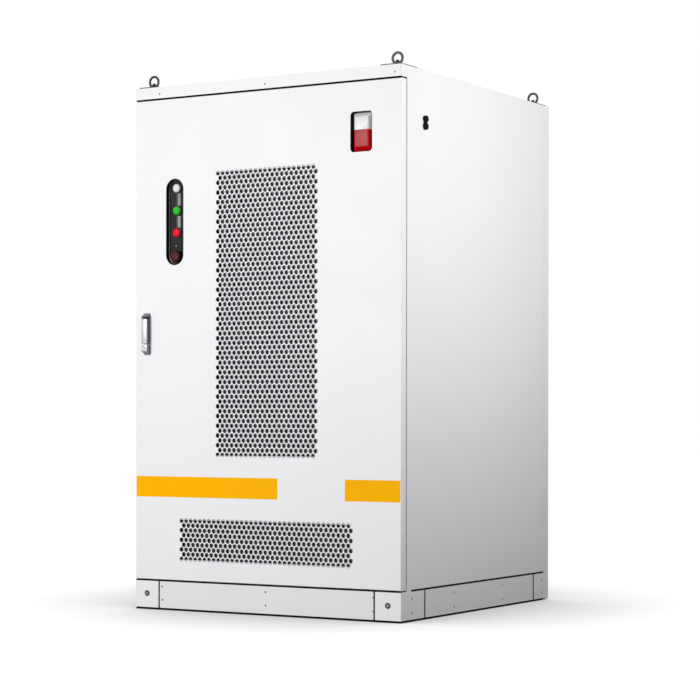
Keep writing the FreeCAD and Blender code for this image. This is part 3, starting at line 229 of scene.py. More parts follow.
def powder_coat(name, thick, thin, peel_mm=1.2, peel_height=0.4):
    """A baked powder coat: two near tones, an orange peel and a slightly uneven gloss."""
    material, tree, place = new_finish(name)
    wide = noise(tree, place, 260, 3)
    peel = noise(tree, place, peel_mm, 2)
    principled(tree, Base_Color=blend_colours(tree, wide, thin, thick), IOR=1.5,
               Roughness=spread(tree, wide, *powder_roughness, *noise_range),
               Normal=relief(tree, peel, peel_height, 0.2))
    return material


white_powder = powder_coat("white_powder_coat", "EDEDEF", "E9E9EC", 1.6, 0.25)
# The front plinth cover's darker white is painted shade.
shaded_cover_powder = powder_coat("white_powder_coat_painted_shade", "E6E6E8", "E2E2E5", 1.6, 0.25)
black_powder = powder_coat("black_powder_coat", "1B1B1D", "141415", peel_height=0.5)
grey_powder = powder_coat("grey_powder_coat", "8E9296", "84888C")
grille_powder = powder_coat("light_grey_powder_coat", "9EA0A4", "96989C")
dark_powder = powder_coat("anthracite_powder_coat", "34373B", "2C2F33")
print("powder coats:", white_powder.name, black_powder.name, grey_powder.name, dark_powder.name)

# %% [markdown]
# ## Zinc, steel and copper
# The frame is hot-dip galvanised sheet, whose zinc freezes in crystals about a centimetre across.
# Voronoi cells give those crystals: each has its own tone and gloss. Hinge pins have bright
# electroplated zinc, the lifting eyes are black and the cover screws grey. The handle is die-cast
# zinc with satin chrome on its front faces. Its sides and top get a darker zinc, which is painted
# shade for the faces turned from the lamp. A metal shader keeps the default index of refraction.

# %% Metals
def metal(name, light, dark, grain_mm, roughness, uneven, crystals=False):
    """A bare or plated metal whose grains differ a little in tone and gloss."""
    material, tree, place = new_finish(name)
    if crystals:
        cells = add_node(tree, "ShaderNodeTexVoronoi", Vector=place, Scale=1 / (grain_mm * mm))
        grain = add_node(tree, "ShaderNodeSeparateColor", Color=cells.outputs["Color"]).outputs[0]
    else:
        grain = noise(tree, place, grain_mm, 4)
    principled(tree, Base_Color=blend_colours(tree, grain, dark, light), Metallic=1.0,
               Roughness=spread(tree, grain, roughness - uneven, roughness + uneven),
               Normal=relief(tree, grain, 0.15, 0.1))
    return material


galvanised = metal("galvanised_sheet", "C6C9CC", "A9ADB1", 9, 0.42, 0.10, crystals=True)
bright_zinc = metal("bright_zinc_plating", "A9ACB0", "8C9094", 1.5, 0.30, 0.06)
black_zinc = metal("black_zinc_plating", "47494D", "2C2E32", 2.0, 0.34, 0.06)
grey_zinc = metal("grey_zinc_plating", "707276", "5A5C61", 2.0, 0.36, 0.05)
satin_chrome = metal("satin_chrome_on_zinc_casting", "A4A5A8", "989A9D", 0.8, 0.46, 0.04)
# The darker zinc for the handle's sides and top is painted shade.
zinc_casting = metal("zinc_casting_painted_shade", "868890", "777A80", 1.2, 0.40, 0.05)
polished_steel = metal("polished_stainless_steel", "CFD0D3", "B9BABE", 0.6, 0.22, 0.05)
copper = metal("tinned_copper_bar", "D98F6A", "B8704C", 3.0, 0.32, 0.08)
print("metals:", galvanised.name, bright_zinc.name, satin_chrome.name, polished_steel.name, copper.name)

# %% [markdown]
# ## Plastics, rubber and film
# Moulded plastics differ in gloss and in the grain of their mould. The window's tray is smooth and
# dark and mirrors its own side walls. The lenses glow faintly, as if a lamp stood behind them. The
# sounder's red case, the clear rim of the alarm cover and the orange film glow faintly too, which is painted
# light, and the emergency button's very dark red is painted shade. The switch parts have a fine spark-eroded
# grain, and the seals are matt foam rubber with tiny pores.

# %% Moulded plastics and rubber
def moulded(name, light, dark, grain_mm, grain_height, roughness, glow_hex="FFFFFF", glow=0.0, shine=0.5):
    """A moulded plastic or rubber with the grain of its mould."""
    material, tree, place = new_finish(name)
    flow = noise(tree, place, 40, 2)
    grain = noise(tree, place, grain_mm, 2)
    principled(tree, Base_Color=blend_colours(tree, flow, dark, light), IOR=1.5, Specular_IOR_Level=shine,
               Roughness=spread(tree, flow, roughness - 0.03, roughness + 0.03, *noise_range),
               Normal=relief(tree, grain, grain_height, 0.1),
               Emission_Color=linear(glow_hex), Emission_Strength=glow)
    return material


def clear_moulded(name, light, dark, roughness, *glow_and_shine, **more):
    """A plastic from a polished mould, whose grain hardly shows."""
    return moulded(name, light, dark, 0.8, 0.05, roughness, *glow_and_shine, **more)


tray_gloss = clear_moulded("glossy_dark_polycarbonate", "101112", "0A0B0C", 0.14, shine=0.28)
label_plate_finish = clear_moulded("satin_dark_label_plate", "141516", "0E0F10", 0.34, shine=0.4)
lens_white = clear_moulded("milky_polycarbonate_lens", "DADBDC", "D2D3D4", 0.5, "D4D6D8", 0.10)
lens_green = clear_moulded("green_polycarbonate_lens", "1CA028", "149020", 0.5, "30C838", 0.26, 0.15)
lens_red = clear_moulded("red_polycarbonate_lens", "D4041E", "C2021A", 0.5, "F60A28", 0.22, 0.15)
# The sounder case's faint glow is painted light; it is no lamp.
sounder_red_painted_glow = clear_moulded("red_polycarbonate_case_painted_glow", "DC0810", "C8060C", 0.35, "D00408", 0.08, 0.2)
cover_milky = clear_moulded("milky_acrylic_cover", "E4E4E4", "DEDEDE", 0.4)
# The rim's faint glow is painted light that lifts slopes lying in shade.
cover_rim_painted_glow = clear_moulded("clear_acrylic_rim_painted_glow", "E6E7E9", "DCDDDF", 0.25, "FFFFFF", 0.10)
alarm_face_red = moulded("frosted_red_polycarbonate", "B13E43", "A8383D", 0.8, 0.2, 0.5, shine=0.25)
# The button's very dark red is painted shade for the shadow in the window.
shaded_button_red = moulded("red_polyamide_painted_shade", "460A0D", "38070A", 0.6, 0.35, 0.5, shine=0.12)
black_polyamide = moulded("black_polyamide", "18181A", "101012", 0.5, 0.4, 0.45)
grey_polyamide = moulded("light_grey_polyamide", "B9BCBE", "ADB0B3", 0.5, 0.35, 0.45)
red_polyamide = moulded("signal_red_polyamide", "B3141B", "9C1016", 0.5, 0.35, 0.4)
yellow_polyamide = moulded("signal_yellow_polyamide", "F2B705", "E0A800", 0.5, 0.35, 0.4)
orange_polyamide = moulded("signal_orange_polyamide", "E8640A", "D45808", 0.5, 0.35, 0.4)
foam_rubber = moulded("black_foam_rubber", "101010", "080808", 0.7, 0.9, 0.9, shine=0.15)
# The film's faint glow is painted light.
orange_film_painted_glow = moulded("orange_vinyl_film_painted_glow", "FDB600", "FBB200", 2.0, 0.10, 0.5, "FFB400", 0.04, 0.03)
print("plastics:", len([m for m in bpy.data.materials if "poly" in m.name or "acryl" in m.name]))

# %% [markdown]
# ## Filter fleece
# Behind the perforated fields lies a dark filter fleece, so the middle of each hole looks nearly
# black. The fleece needs loose fibres a few tenths of a millimetre thick. They are drawn about two
# millimetres apart here, since finer ones would blur to one grey, and a wider pattern makes some
# spots denser.

# %% Filter fleece
filter_finish, tree, place = new_finish("polyester_filter_fleece")
fluff = noise(tree, place, 2, 5, Roughness=0.7)
clumps = noise(tree, place, 14, 2)
density = spread(tree, combine(tree, "MULTIPLY", fluff, clumps), 0.0, 1.0, 0.12, 0.42)
principled(tree, Base_Color=blend_colours(tree, density, "141517", "3A3B3E"), Roughness=0.9,
           Normal=relief(tree, fluff, 0.9, 1.0))
print("filter:", filter_finish.name)

# %% [markdown]
# ## Finishes for the solids that stay
# Folded steel has the right form already. A weld and a small bevel round its edges by the radius
# of the folding tool, so that they catch a line of light. The bevel is a modifier, so the solid
# itself isn't changed.

# %% Dress the kept solids
def dress(names, material, edge_mm):
    """Gives kept solids a finish and softly rounded edges."""
    for name in names:
        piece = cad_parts[name]
        piece.data.materials.clear()
        piece.data.materials.append(material)
        piece.modifiers.new("weld", "WELD").merge_threshold = 0.02 * mm
        bevel = piece.modifiers.new("folded_edge", "BEVEL")
        bevel.width, bevel.segments = edge_mm * mm, 2
        bevel.limit_method, bevel.angle_limit = "ANGLE", radians(50)


front_cover = "plinth_cover_front"
plinth = [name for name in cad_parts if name.startswith("plinth_co") and name != front_cover]
dress(["side_panel_left", "side_panel_right", "roof_panel", "rear_cover", "fascia"] + plinth,
      white_powder, 0.7)
dress(["corner_posts", "frame_rails", "floor_plate", "door_stiffeners", "switch_plate", "rod_guides",
       "upper_rod", "lower_rod", "lock_rotor"], galvanised, 0.5)
# The front plinth cover's darker white is painted shade.
dress([front_cover], shaded_cover_powder, 0.7)
dress(["battery_rack"], black_powder, 0.5)
dress(["lifting_plates"], black_powder, 0.8)
dress(["hinge_pins", "hinge_bushes"], bright_zinc, 0.3)
dress(["door_seal"], foam_rubber, 2.0)
dress(["button_base", "fan_frame", "breaker_toggle"], black_polyamide, 0.6)
dress(["control_unit", "breaker_block", "isolator_base"], grey_polyamide, 1.0)
dress(["isolator_knob"], red_polyamide, 0.8)
dress(["busbars"], copper, 0.5)
print("kept solids dressed")

# %% [markdown]
# ## Small tools for meshes
# The detailed pieces are built with bmesh, in millimetres. One tool turns a finished bmesh into a
# piece that rides on a body of the frame. Faces are smooth, and edges sharper than a set angle stay
# crisp. The others make what nearly all pieces here consist of: blocks with rounded edges, turned
# forms and outlines that are swept inwards in steps. Most turned forms point out of the door.

# %% Mesh tools
outwards = (0, -1, 0)


def add_piece(bm, name, finish, body, replaces=()):
    """Makes a piece from a bmesh in millimetres. Finish is one material or a list of them."""
    bmesh.ops.scale(bm, vec=(mm, mm, mm), verts=bm.verts)
    bmesh.ops.recalc_face_normals(bm, faces=bm.faces)
    mesh = bpy.data.meshes.new(name)
    bm.to_mesh(mesh)
    bm.free()
    mesh.shade_smooth()
    mesh.set_sharp_from_angle(angle=radians(35))
    for material in finish if isinstance(finish, list) else [finish]:
        mesh.materials.append(material)
    return place_piece(name, mesh, body, replaces)


def place_piece(name, mesh, body, replaces=(), lift=0.0):
    """Puts a mesh in the scene, lifted by some millimetres, and lets it ride on a body."""
    piece = bpy.data.objects.new(name, mesh)
    piece.location.z = lift * mm
    scene.collection.objects.link(piece)
    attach(piece, body)
    if replaces:
        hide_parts(*replaces)
    return piece


def block(bm, x_span, y_span, z_span, edge=1.0, segments=2, finish=0):
    """A block between two values on each axis, with rounded edges."""
    low, high = (Vector(ends) for ends in zip(x_span, y_span, z_span))
    verts = bmesh.ops.create_cube(bm, size=1.0)["verts"]
    for vert in verts:
        vert.co = Vector([low[i] + (vert.co[i] + 0.5) * (high[i] - low[i]) for i in range(3)])
    for face in {face for vert in verts for face in vert.link_faces}:
        face.material_index = finish
    edges = list({rim for vert in verts for rim in vert.link_edges})
    bmesh.ops.bevel(bm, geom=edges, offset=edge, segments=segments, profile=0.5, affect="EDGES")


def strip(bm, x_span, y_span, z_span, edge, finish=0):
    """A thin block whose edges are only broken by one flat."""
    block(bm, x_span, y_span, z_span, edge, 1, finish)


def around(middle, half):
    return (middle - half, middle + half)


def full_turn(sides):
    """The angles of equal steps round a circle."""
    return [2 * pi * index / sides for index in range(sides)]


def weld(bm):
    """Joins points that lie on each other."""
    bmesh.ops.remove_doubles(bm, verts=bm.verts, dist=0.001)


def ring_faces(bm, loops, finish=0, closed=True):
    """Joins loops of points to a skin. A loop of one point closes it."""
    rows = [[bm.verts.new(point) for point in loop] for loop in loops]
    for near, far in zip(rows, rows[1:]):
        count = max(len(near), len(far))
        for index in range(count if closed else count - 1):
            after = (index + 1) % count
            corners = [near[index % len(near)], near[after % len(near)],
                       far[after % len(far)], far[index % len(far)]]
            bm.faces.new(list(dict.fromkeys(corners))).material_index = finish
    return rows


def turned(bm, profile, centre, axis=outwards, sides=32, finish=0):
    """A turned form: profile holds pairs of radius and distance along the axis."""
    along = Vector(axis).normalized()
    across = along.orthogonal().normalized()
    third = along.cross(across)
    turns = full_turn(sides)
    loops = []
    for radius, distance in profile:
        middle = Vector(centre) + along * distance
        loops.append([middle + (across * cos(t) + third * sin(t)) * radius for t in turns]
                     if radius else [middle])
    return ring_faces(bm, loops, finish)


def obround_loop(width, height, grow, x, y, z, steps=16):
    """The points of an upright slot with round ends, grown outwards by a distance."""
    radius = width / 2 + grow
    reach = height / 2 - width / 2
    points = []
    for end in (1, -1):
        for index in range(steps + 1):
            angle = pi * index / steps
            points.append((x + end * radius * cos(angle), y, z + end * (reach + radius * sin(angle))))
    return points


def rounded_loop(width, height, radius, grow, x, y, z, steps=8):
    """The points of a rectangle with round corners, grown outwards by a distance."""
    half_width, half_height = width / 2 + grow, height / 2 + grow
    corner = max(radius + grow, 0.05)
    points = []
    for turn, (side, end) in enumerate(((1, 1), (-1, 1), (-1, -1), (1, -1))):
        for index in range(steps + 1):
            angle = pi / 2 * (turn + index / steps)
            points.append((x + side * (half_width - corner) + corner * cos(angle), y,
                           z + end * (half_height - corner) + corner * sin(angle)))
    return points


print("mesh tools ready")

# %% [markdown]
# ## The perforated door
# The door is one folded sheet of two millimetres. Its two fields have round holes of 16.8 mm in
# staggered rows, 19 mm apart, about 1,560 of them. Cutting so many holes with booleans is slow. A
# constrained triangulation is quick: it takes the sheet's outline and all the hole outlines at
# once, and returns the faces between them. The same faces are used again on the sheet's back, and
# short walls close each hole.

# %% Door sizes
cabinet_left, cabinet_right = -528, 528
door_front, door_back = -548, -516
door_bottom, door_top = 104, 1755
sheet, bend, lip = 2.0, 2.5, 42
behind_sheet = -545.7
hole_radius, hole_sides = 8.4, 16
hole_pitch, row_pitch = 19.0, 16.45
tall_z, low_z = 1012.5, 243.5
window_x, window_z, window_width, window_height = -364.5, 1332.5, 73, 297
alarm_x, alarm_z, alarm_width, alarm_height, alarm_radius = 377, 1592, 83, 132, 13
lock_x, pivot_z, lock_hole_radius = -479, 993, 9
hinge_x, hinge_y, bush_half = 517, -536, 8.05


def field_centres(columns, rows, x_middle, z_middle):
    """The hole centres of one field. Every other row is shifted by half a pitch."""
    centres = []
    for row in range(rows):
        shift = hole_pitch / 4 * (1 if row % 2 else -1)
        z = z_middle + (row - (rows - 1) / 2) * row_pitch
        for column in range(columns):
            centres.append((x_middle + shift + (column - (columns - 1) / 2) * hole_pitch, z))
    return centres


centres = field_centres(21, 59, 9.5, tall_z) + field_centres(36, 9, 3, low_z)
print("holes in the door:", len(centres))


# %% A sheet with holes
def circle(radius, x, z, sides):
    return [(x + radius * cos(t), z + radius * sin(t)) for t in full_turn(sides)]


def rectangle(x_span, z_span):
    return [(x_span[0], z_span[0]), (x_span[1], z_span[0]), (x_span[1], z_span[1]), (x_span[0], z_span[1])]


def flat(loop):
    """A loop in space as flat points for a sheet, without doubles."""
    return list(dict.fromkeys((round(p[0], 4), round(p[2], 4)) for p in loop))


def window_loop(grow, y):
    return obround_loop(window_width, window_height, grow, window_x, y, window_z)


def alarm_loop(grow, y):
    return rounded_loop(alarm_width, alarm_height, alarm_radius, grow, alarm_x, y, alarm_z)


def upright(y):
    """Stands a flat point up at a depth."""
    return lambda u, v: (u, y, v)


def pierced_sheet(bm, outline, holes, front, back):
    """Two equal faces of a sheet with walls in its holes. Front and back place a flat point in space."""
    points, loops = [], []
    for loop in [outline] + holes:
        loops.append(list(range(len(points), len(points) + len(loop))))
        points += [Vector(point) for point in loop]
    flat_points, _, triangles, _, _, inside = delaunay_2d_cdt(points, [], loops, 0, 0.0001, True)
    near = [bm.verts.new(front(p.x, p.y)) for p in flat_points]
    far = [bm.verts.new(back(p.x, p.y)) for p in flat_points]
    for (a, b, c), owners in zip(triangles, inside):
        if owners == [0]:
            bm.faces.new((near[a], near[b], near[c]))
            bm.faces.new((far[c], far[b], far[a]))
    for loop in loops[1:]:
        for a, b in zip([loop[-1]] + loop, loop):
            bm.faces.new((near[a], near[b], far[b], far[a]))


def closed_plate(bm, outline, holes, front, back):
    """A pierced plate between two depths, with its outer edges closed."""
    pierced_sheet(bm, outline, holes, upright(front), upright(back))
    ring_faces(bm, [[(u, y, v) for u, v in outline] for y in (front, back)])


def corner_loop(inset, y):
    """The door's outline, drawn in by an inset, at a depth."""
    corners = rectangle((cabinet_left + inset, cabinet_right - inset), (door_bottom + inset, door_top - inset))
    return [Vector((x, y, z)) for x, z in corners]


print("tools for sheets ready")

# %% [markdown]
# ## The door's shell
# The face has a folded return on all sides, with a bend of 2.5 mm, and an inward lip behind it. Its
# section is swept round the door. The returns above and below are pierced sheets too, since the
# hinge's bushes and the lock's rods pass through them.

# %% Build the door's shell
bm = bmesh.new()
holes = [circle(hole_radius, x, z, hole_sides) for x, z in centres]
holes += [flat(window_loop(0, 0)), flat(alarm_loop(0, 0)), circle(lock_hole_radius, lock_x, pivot_z, 32)]
pierced_sheet(bm, flat(corner_loop(bend + 1, 0)), holes, upright(door_front), upright(door_front + sheet))

bend_steps = 5
profile = [(bend + 1, door_front)]
for step in range(bend_steps + 1):
    angle = pi / 2 * step / bend_steps
    profile.append((bend - bend * sin(angle), door_front + bend - bend * cos(angle)))
outer_wall = len(profile) - 1
profile += [(0, door_back), (lip, door_back), (lip, door_back - sheet), (sheet, door_back - sheet),
            (sheet, door_front + bend), (bend, door_front + sheet), (bend + 1, door_front + sheet)]
inner_wall = outer_wall + 4
loops = [[bm.verts.new(point) for point in corner_loop(inset, y)] for inset, y in profile]
for index, (near, far) in enumerate(zip(loops, loops[1:])):
    for side in range(4):
        if index in (outer_wall, inner_wall) and side in (0, 2):
            continue
        after = (side + 1) % 4
        bm.faces.new((near[side], near[after], far[after], far[side]))

rod_half, rod_back, rod_front = 8.3, -525.7, -530.3
for z, inward, rod_x in ((door_top, -1, -496.5), (door_bottom, 1, -461.5)):
    outline = rectangle((cabinet_left, cabinet_right), (door_front + bend, door_back))
    bush = rectangle(around(hinge_x, bush_half), around(hinge_y, bush_half))
    rod = rectangle(around(rod_x, rod_half), (rod_front, rod_back))

    def inner_face(u, v, z=z + inward * sheet):
        return (min(max(u, cabinet_left + sheet), cabinet_right - sheet), min(v, door_back - sheet), z)

    pierced_sheet(bm, outline, [bush, rod], lambda u, v, z=z: (u, v, z), inner_face)
weld(bm)
door_skin = add_piece(bm, "door_skin_sheet", white_powder, "door", replaces=("door_skin",))
print("door faces:", len(door_skin.data.polygons))

# %% [markdown]
# ## Stripes
# Two bands of orange vinyl film cross the door and leave a gap between them. A film is a tenth of a
# millimetre thick. Here it is two tenths, so that it never lies in the paint, and its edges are
# rounded a little. It is a piece of its own that lies on the door.

# %% Stripe films
film = 0.2
stripe_span = (389, 459.5)
film_ends = bend + 0.5
for name, x_span in (("left_stripe_film", (cabinet_left + film_ends, 55)),
                     ("right_stripe_film", (317, cabinet_right - film_ends))):
    bm = bmesh.new()
    strip(bm, x_span, (door_front - film, door_front), stripe_span, 0.08)
    # The film glows faintly: painted light.
    add_piece(bm, name, orange_film_painted_glow, "door")
print("stripes over", stripe_span, "mm")

# %% [markdown]
# ## The indicator window
# A glossy dark tray sits behind a slot with round ends. It is made of loops with the slot's form,
# each a little further in, which is how a deep-drawn or moulded cup is shaped. The lamps are low
# domed caps in dark rims, turned round the axis that points at the viewer, and they glow faintly.
# Two blank plates with a low crown lie between them.

# %% Tray
tray_face, tray_back = -531.0, -529.0
button_height, collar_half = 1214.5, 10.3
bm = bmesh.new()
for section in ([(10, behind_sheet), (10, -544), (2.2, -544), (2.2, tray_back), (-5, tray_back)],
                [(10, behind_sheet), (0.6, behind_sheet), (0.3, -545.2), (0.1, -534), (-0.6, -532.2),
                 (-2.2, -531.2), (-5, tray_face)]):
    ring_faces(bm, [window_loop(grow, y) for grow, y in section])
opening = rectangle(around(window_x, collar_half), around(button_height, collar_half))
pierced_sheet(bm, flat(window_loop(-5, 0)), [opening], upright(tray_face), upright(tray_back))
weld(bm)
add_piece(bm, "window_tray", tray_gloss, "door", replaces=("indicator_tray",))
bm = bmesh.new()
turned(bm, [(2.6, -0.1), (2.6, 0.7), (2.2, 1.2), (1.0, 1.4), (0.9, 0.6), (0, 0.6)],
       (window_x - 6, tray_face, 1252), sides=24)
add_piece(bm, "tray_screw", grey_zinc, "door")

# %% Label plates
crown_radius, crown_half, crown_steps = 40.0, radians(20), 10
plate_x, plate_rise, plate_sink = window_x + 1, 0.3, 0.2
foot = crown_radius * sin(crown_half)
bm = bmesh.new()
for z_span in ((1390, 1431), (1314, 1354)):
    loops = []
    for z in z_span:
        loop = []
        for index in range(crown_steps + 1):
            angle = -crown_half + 2 * crown_half * index / crown_steps
            bulge = crown_radius * (cos(angle) - cos(crown_half))
            loop.append((plate_x + crown_radius * sin(angle), tray_face - bulge - plate_rise, z))
        loops.append(loop + [(plate_x + side * foot, tray_face + plate_sink, z) for side in (1, -1)])
    for row in ring_faces(bm, loops):
        bm.faces.new(row)
add_piece(bm, "blank_label_plates", label_plate_finish, "door")
print("label plates with a crown of", crown_radius, "mm")

# %% Signal lamps
cap_profile = [(14.4, 1), (14.4, 6.4), (14.0, 7.8), (12.8, 8.9), (9.6, 10.0), (5.2, 10.7), (0, 10.9)]
collar_profile = [(16.6, -0.2), (16.6, 2.2), (15.9, 3.2), (15.2, 3.4), (14.6, 3.0), (14.6, -0.2)]
lamps = (("white", 1449, lens_white), ("green", 1372, lens_green), ("red", 1296, lens_red))
for colour, height, finish in lamps:
    name, centre = colour + "_lamp", (window_x, tray_face, height)
    bm = bmesh.new()
    turned(bm, cap_profile, centre, sides=40)
    add_piece(bm, name + "_cap", finish, "door", replaces=(name,))
    bm = bmesh.new()
    turned(bm, collar_profile, centre, sides=40)
    block(bm, around(window_x, 12), (-529, -497), around(height, 12), edge=1.2)
    add_piece(bm, name + "_rim", black_polyamide, "door")
    print(name, "at", height, "mm")

# %% [markdown]
# ## Emergency button
# A red mushroom of 40 mm that the hand pushes in. Its very dark red is painted shade for the shadow in the
# window. Its head is turned: a flat crown with a soft shoulder and an undercut at the back, where the fingers
# pull it out again. Three low ridges show which way to turn it. It rides on its own body, so it moves into its
# collar.

# %% Mushroom head
bm = bmesh.new()
turned(bm, [(6.9, -1.9), (6.9, 9.5), (8, 9.7), (15, 10.2), (19, 10.8), (20, 12.2), (20, 14.8), (19.2, 17),
            (17.4, 18.6), (14.5, 19.4), (8, 19.6), (0, 19.6)], (window_x, tray_face, button_height), sides=48)
ridge_top = tray_face - 19.75
ridge_foot = ridge_top + 0.6
ridge_section = ((13.2, ridge_foot), (13.2, ridge_top), (11.4, ridge_top), (11.4, ridge_foot))
for start in (20, 140, 260):
    turns = [radians(start) + radians(80) * index / 12 for index in range(13)]
    loops = [[(window_x + radius * cos(t), y, button_height + radius * sin(t)) for t in turns]
             for radius, y in ridge_section]
    ring_faces(bm, loops, closed=False)
# The head's very dark red is painted shade.
add_piece(bm, "mushroom_head", shaded_button_red, "emergency_button", replaces=("emergency_button",))
print("button head 40 mm across")

# %% [markdown]
# ## Alarm
# A sounder with a light stands in its own cut-out. The upper part is a milky cover over the light,
# and the lower part is the red case of the sounder. All their sides lean in towards the front, so
# from the right and from below the eye meets the darker slopes. Each part is made of loops, and the
# slopes and the front get finishes of their own. The red case and the clear rim of the cover glow faintly, which
# is painted light. A black recess behind them is painted shade for the dark gap on their left.

# %% Alarm
bm = bmesh.new()
recess = [(4, behind_sheet), (0.1, behind_sheet), (0.1, -502), (-2, -500.5), (-20, -500.5)]
ring_faces(bm, [alarm_loop(grow, y) for grow, y in recess])
weld(bm)
# The black lining of the recess is painted shade.
add_piece(bm, "alarm_recess_painted_shade", foam_rubber, "door")

alarm_border = 3.5
alarm_half_width = alarm_width / 2 - alarm_border
alarm_low, alarm_high = around(alarm_z, alarm_height / 2 - alarm_border)
alarm_split = alarm_high - 0.45 * (alarm_high - alarm_low)
lean_steps = [(0, -500.6), (0, -529), (1.6, -531), (12.8, -545.4), (13.8, -547.2), (15.2, -547.9)]


def leaning_cover(bm, flat_end, leaning_end):
    """A cover whose outer sides lean in, with one end that stays flat against its neighbour."""
    loops = []
    for lean, y in lean_steps:
        tip = leaning_end + (lean if leaning_end < flat_end else -lean)
        width, height = 2 * (alarm_half_width - lean), abs(flat_end - tip)
        loops.append(rounded_loop(width, height, 3, 0, alarm_x, y, (flat_end + tip) / 2))
    bm.faces.new(ring_faces(bm, loops)[-1]).material_index = 1


bm = bmesh.new()
leaning_cover(bm, alarm_split, alarm_low)
for rib in range(5):
    strip(bm, around(alarm_x, 16), (-547.97, -547), around(alarm_low + 22 + rib * 8.5, 1.4), 0.45, finish=1)
# The red case glows faintly: painted light.
add_piece(bm, "alarm_sounder", [sounder_red_painted_glow, alarm_face_red], "door", replaces=("alarm_base",))
bm = bmesh.new()
leaning_cover(bm, alarm_split + 0.4, alarm_high)
# The clear rim glows faintly: painted light.
add_piece(bm, "alarm_light_cover", [cover_rim_painted_glow, cover_milky], "door", replaces=("alarm_lens",))
bm = bmesh.new()
for end, tip in ((1, alarm_high), (-1, alarm_low)):
    outer_z = tip + end * 17.5
    for y_span, inner_z in (((-530, -527), tip - 6 * end), ((-546, -527), outer_z - 3 * end)):
        block(bm, around(alarm_x, 24), y_span, sorted((inner_z, outer_z)), edge=0.6)
add_piece(bm, "alarm_arms", black_polyamide, "door")
print("alarm", alarm_high - alarm_low, "mm high")

# %% [markdown]
# ## Filter cassettes
# Each field has a flat cassette: a thin frame clipped behind the sheet, with the fleece set back in
# it. The frame is one outline swept backwards, and a flat face at its end is the fleece.

# %% Cassettes
fleece_setback = 11.5
fleece_y = -545.5 + fleece_setback
cassette_section = [(0, -533.7), (0, behind_sheet), (-7, behind_sheet), (-7, fleece_y - 0.1), (-7.5, fleece_y)]
for name, x, z, width, height, stands_for in (("tall_filter", 6, tall_z, 449, 1006, ("filter_mats",)),
                                              ("low_filter", 0, low_z, 734, 199, ())):
    bm = bmesh.new()
    rows = ring_faces(bm, [rounded_loop(width, height, 4, grow, x, y, z, 3) for grow, y in cassette_section])
    bm.faces.new(rows[0])
    bm.faces.new(rows[-1])
    add_piece(bm, name, filter_finish, "door", replaces=stands_for)
bm = bmesh.new()
for middle, half_width, z_spans in ((6, 217, ((1492, 1508), (517, 533))),
                                    (0, 359, ((311.5, 335.5), (151.5, 175.5)))):
    for z_span in z_spans:
        strip(bm, around(middle, half_width), (-545.6, -544.2), z_span, 0.3)
add_piece(bm, "filter_rails", grey_polyamide, "door")
print("fleece", fleece_setback, "mm behind the sheet")

# %% [markdown]
# ## Retaining grilles
# A thin pierced sheet holds each fleece down from the front. Its holes have the pitch of the door's,
# but lie out of line with them. Each hole of the door therefore shows a pale crescent of this sheet
# and the dark fleece beside it, which a picture of holes painted on the door couldn't do.

# %% Grilles
grille_radius, grille_sides = 7.9, 12
grille_front, grille_back = -538.6, -537.8
offset_x, offset_z = 10.4, -2.0
grille_rim = 4
for name, columns, rows, x_middle, z_middle, half_width, half_height in (
        ("tall_grille", 25, 63, 9.5, tall_z, 216, 489), ("low_grille", 38, 13, 3, low_z, 358, 84)):
    bm = bmesh.new()
    holes = [circle(grille_radius, x + offset_x, z + offset_z, grille_sides)
             for x, z in field_centres(columns, rows, x_middle, z_middle)
             if abs(x + offset_x - x_middle) < half_width + grille_rim
             and abs(z + offset_z - z_middle) < half_height + grille_rim]
    outline = rectangle(around(x_middle, half_width + 14), around(z_middle, half_height + 14))
    closed_plate(bm, outline, holes, grille_front, grille_back)
    weld(bm)
    add_piece(bm, name, grille_powder, "door")
    print("grille holes:", len(holes))

# %% [markdown]
# ## The swing handle
# The handle is die-cast: a slanted block at the top, a lever, and a block with the key cylinder
# below. Castings have small radii everywhere, so each part is an outline seen from the side, pushed
# across the handle's width and then rounded. The lever is slotted at its top for the tongue of the
# rotor, which stays visible in the slot. A black rubber pad on the lever meets black rubber lips on the block,
# and they are painted shade for the dark gap between lever and block. The darker zinc of the sides and top is
# painted shade as well.

# %% Handle housing
def side_outline(bm, outline, x_span, edge, finish=0):
    """An outline of (y, z) points pushed along X, with all its edges rounded."""
    start, end = ([bm.verts.new((x, y, z)) for y, z in outline] for x in x_span)
    faces = [bm.faces.new(start), bm.faces.new(list(reversed(end)))]
    for index in range(len(outline)):
        faces.append(bm.faces.new((start[index - 1], start[index], end[index], end[index - 1])))
    for face in faces:
        face.material_index = finish
    edges = list({rim for face in faces for rim in face.edges})
    bmesh.ops.bevel(bm, geom=edges, offset=edge, segments=3, profile=0.5, affect="EDGES")


lock_half, key_z = 11.0, 902.25
housing_low, housing_high = 878, 1023
lock_span = around(lock_x, lock_half)
bm = bmesh.new()
for outline, edge in ((rectangle((-552, -548), (housing_low, housing_high)), 0.5),
                      ([(-550, 1022.6), (-568.4, 1010.3), (-569, 1009.6), (-550, 1009.6)], 0.4),
                      ([(-550, 878.4), (-567.2, 889.5), (-567.2, 913.5), (-550, 913.5)], 0.6)):
    side_outline(bm, outline, lock_span, edge)
side_outline(bm, [(-567.1, 889.7), (-568.6, 890.6), (-568.6, 913.3), (-567.1, 913.3)],
             around(lock_x, lock_half - 0.2), 0.5, finish=2)
# Black rubber lips in the gap above the lever: painted shade.
strip(bm, around(lock_x, 9.5), (-552.8, -551), (1003.5, 1009.5), 0.3, finish=1)
strip(bm, lock_span, (-569, -567.6), (1005.2, 1009.8), 0.3, finish=1)
turned(bm, [(7.6, 0.2), (7.6, 0.5), (7.2, 0.8), (6.4, 0.8), (6.1, 0.6), (6.1, 0.1)], (lock_x, -568.6, key_z),
       sides=40, finish=2)
add_piece(bm, "handle_housing", [zinc_casting, foam_rubber, satin_chrome], "door", replaces=("lock_housing",))
print("housing", housing_high - housing_low, "mm high")

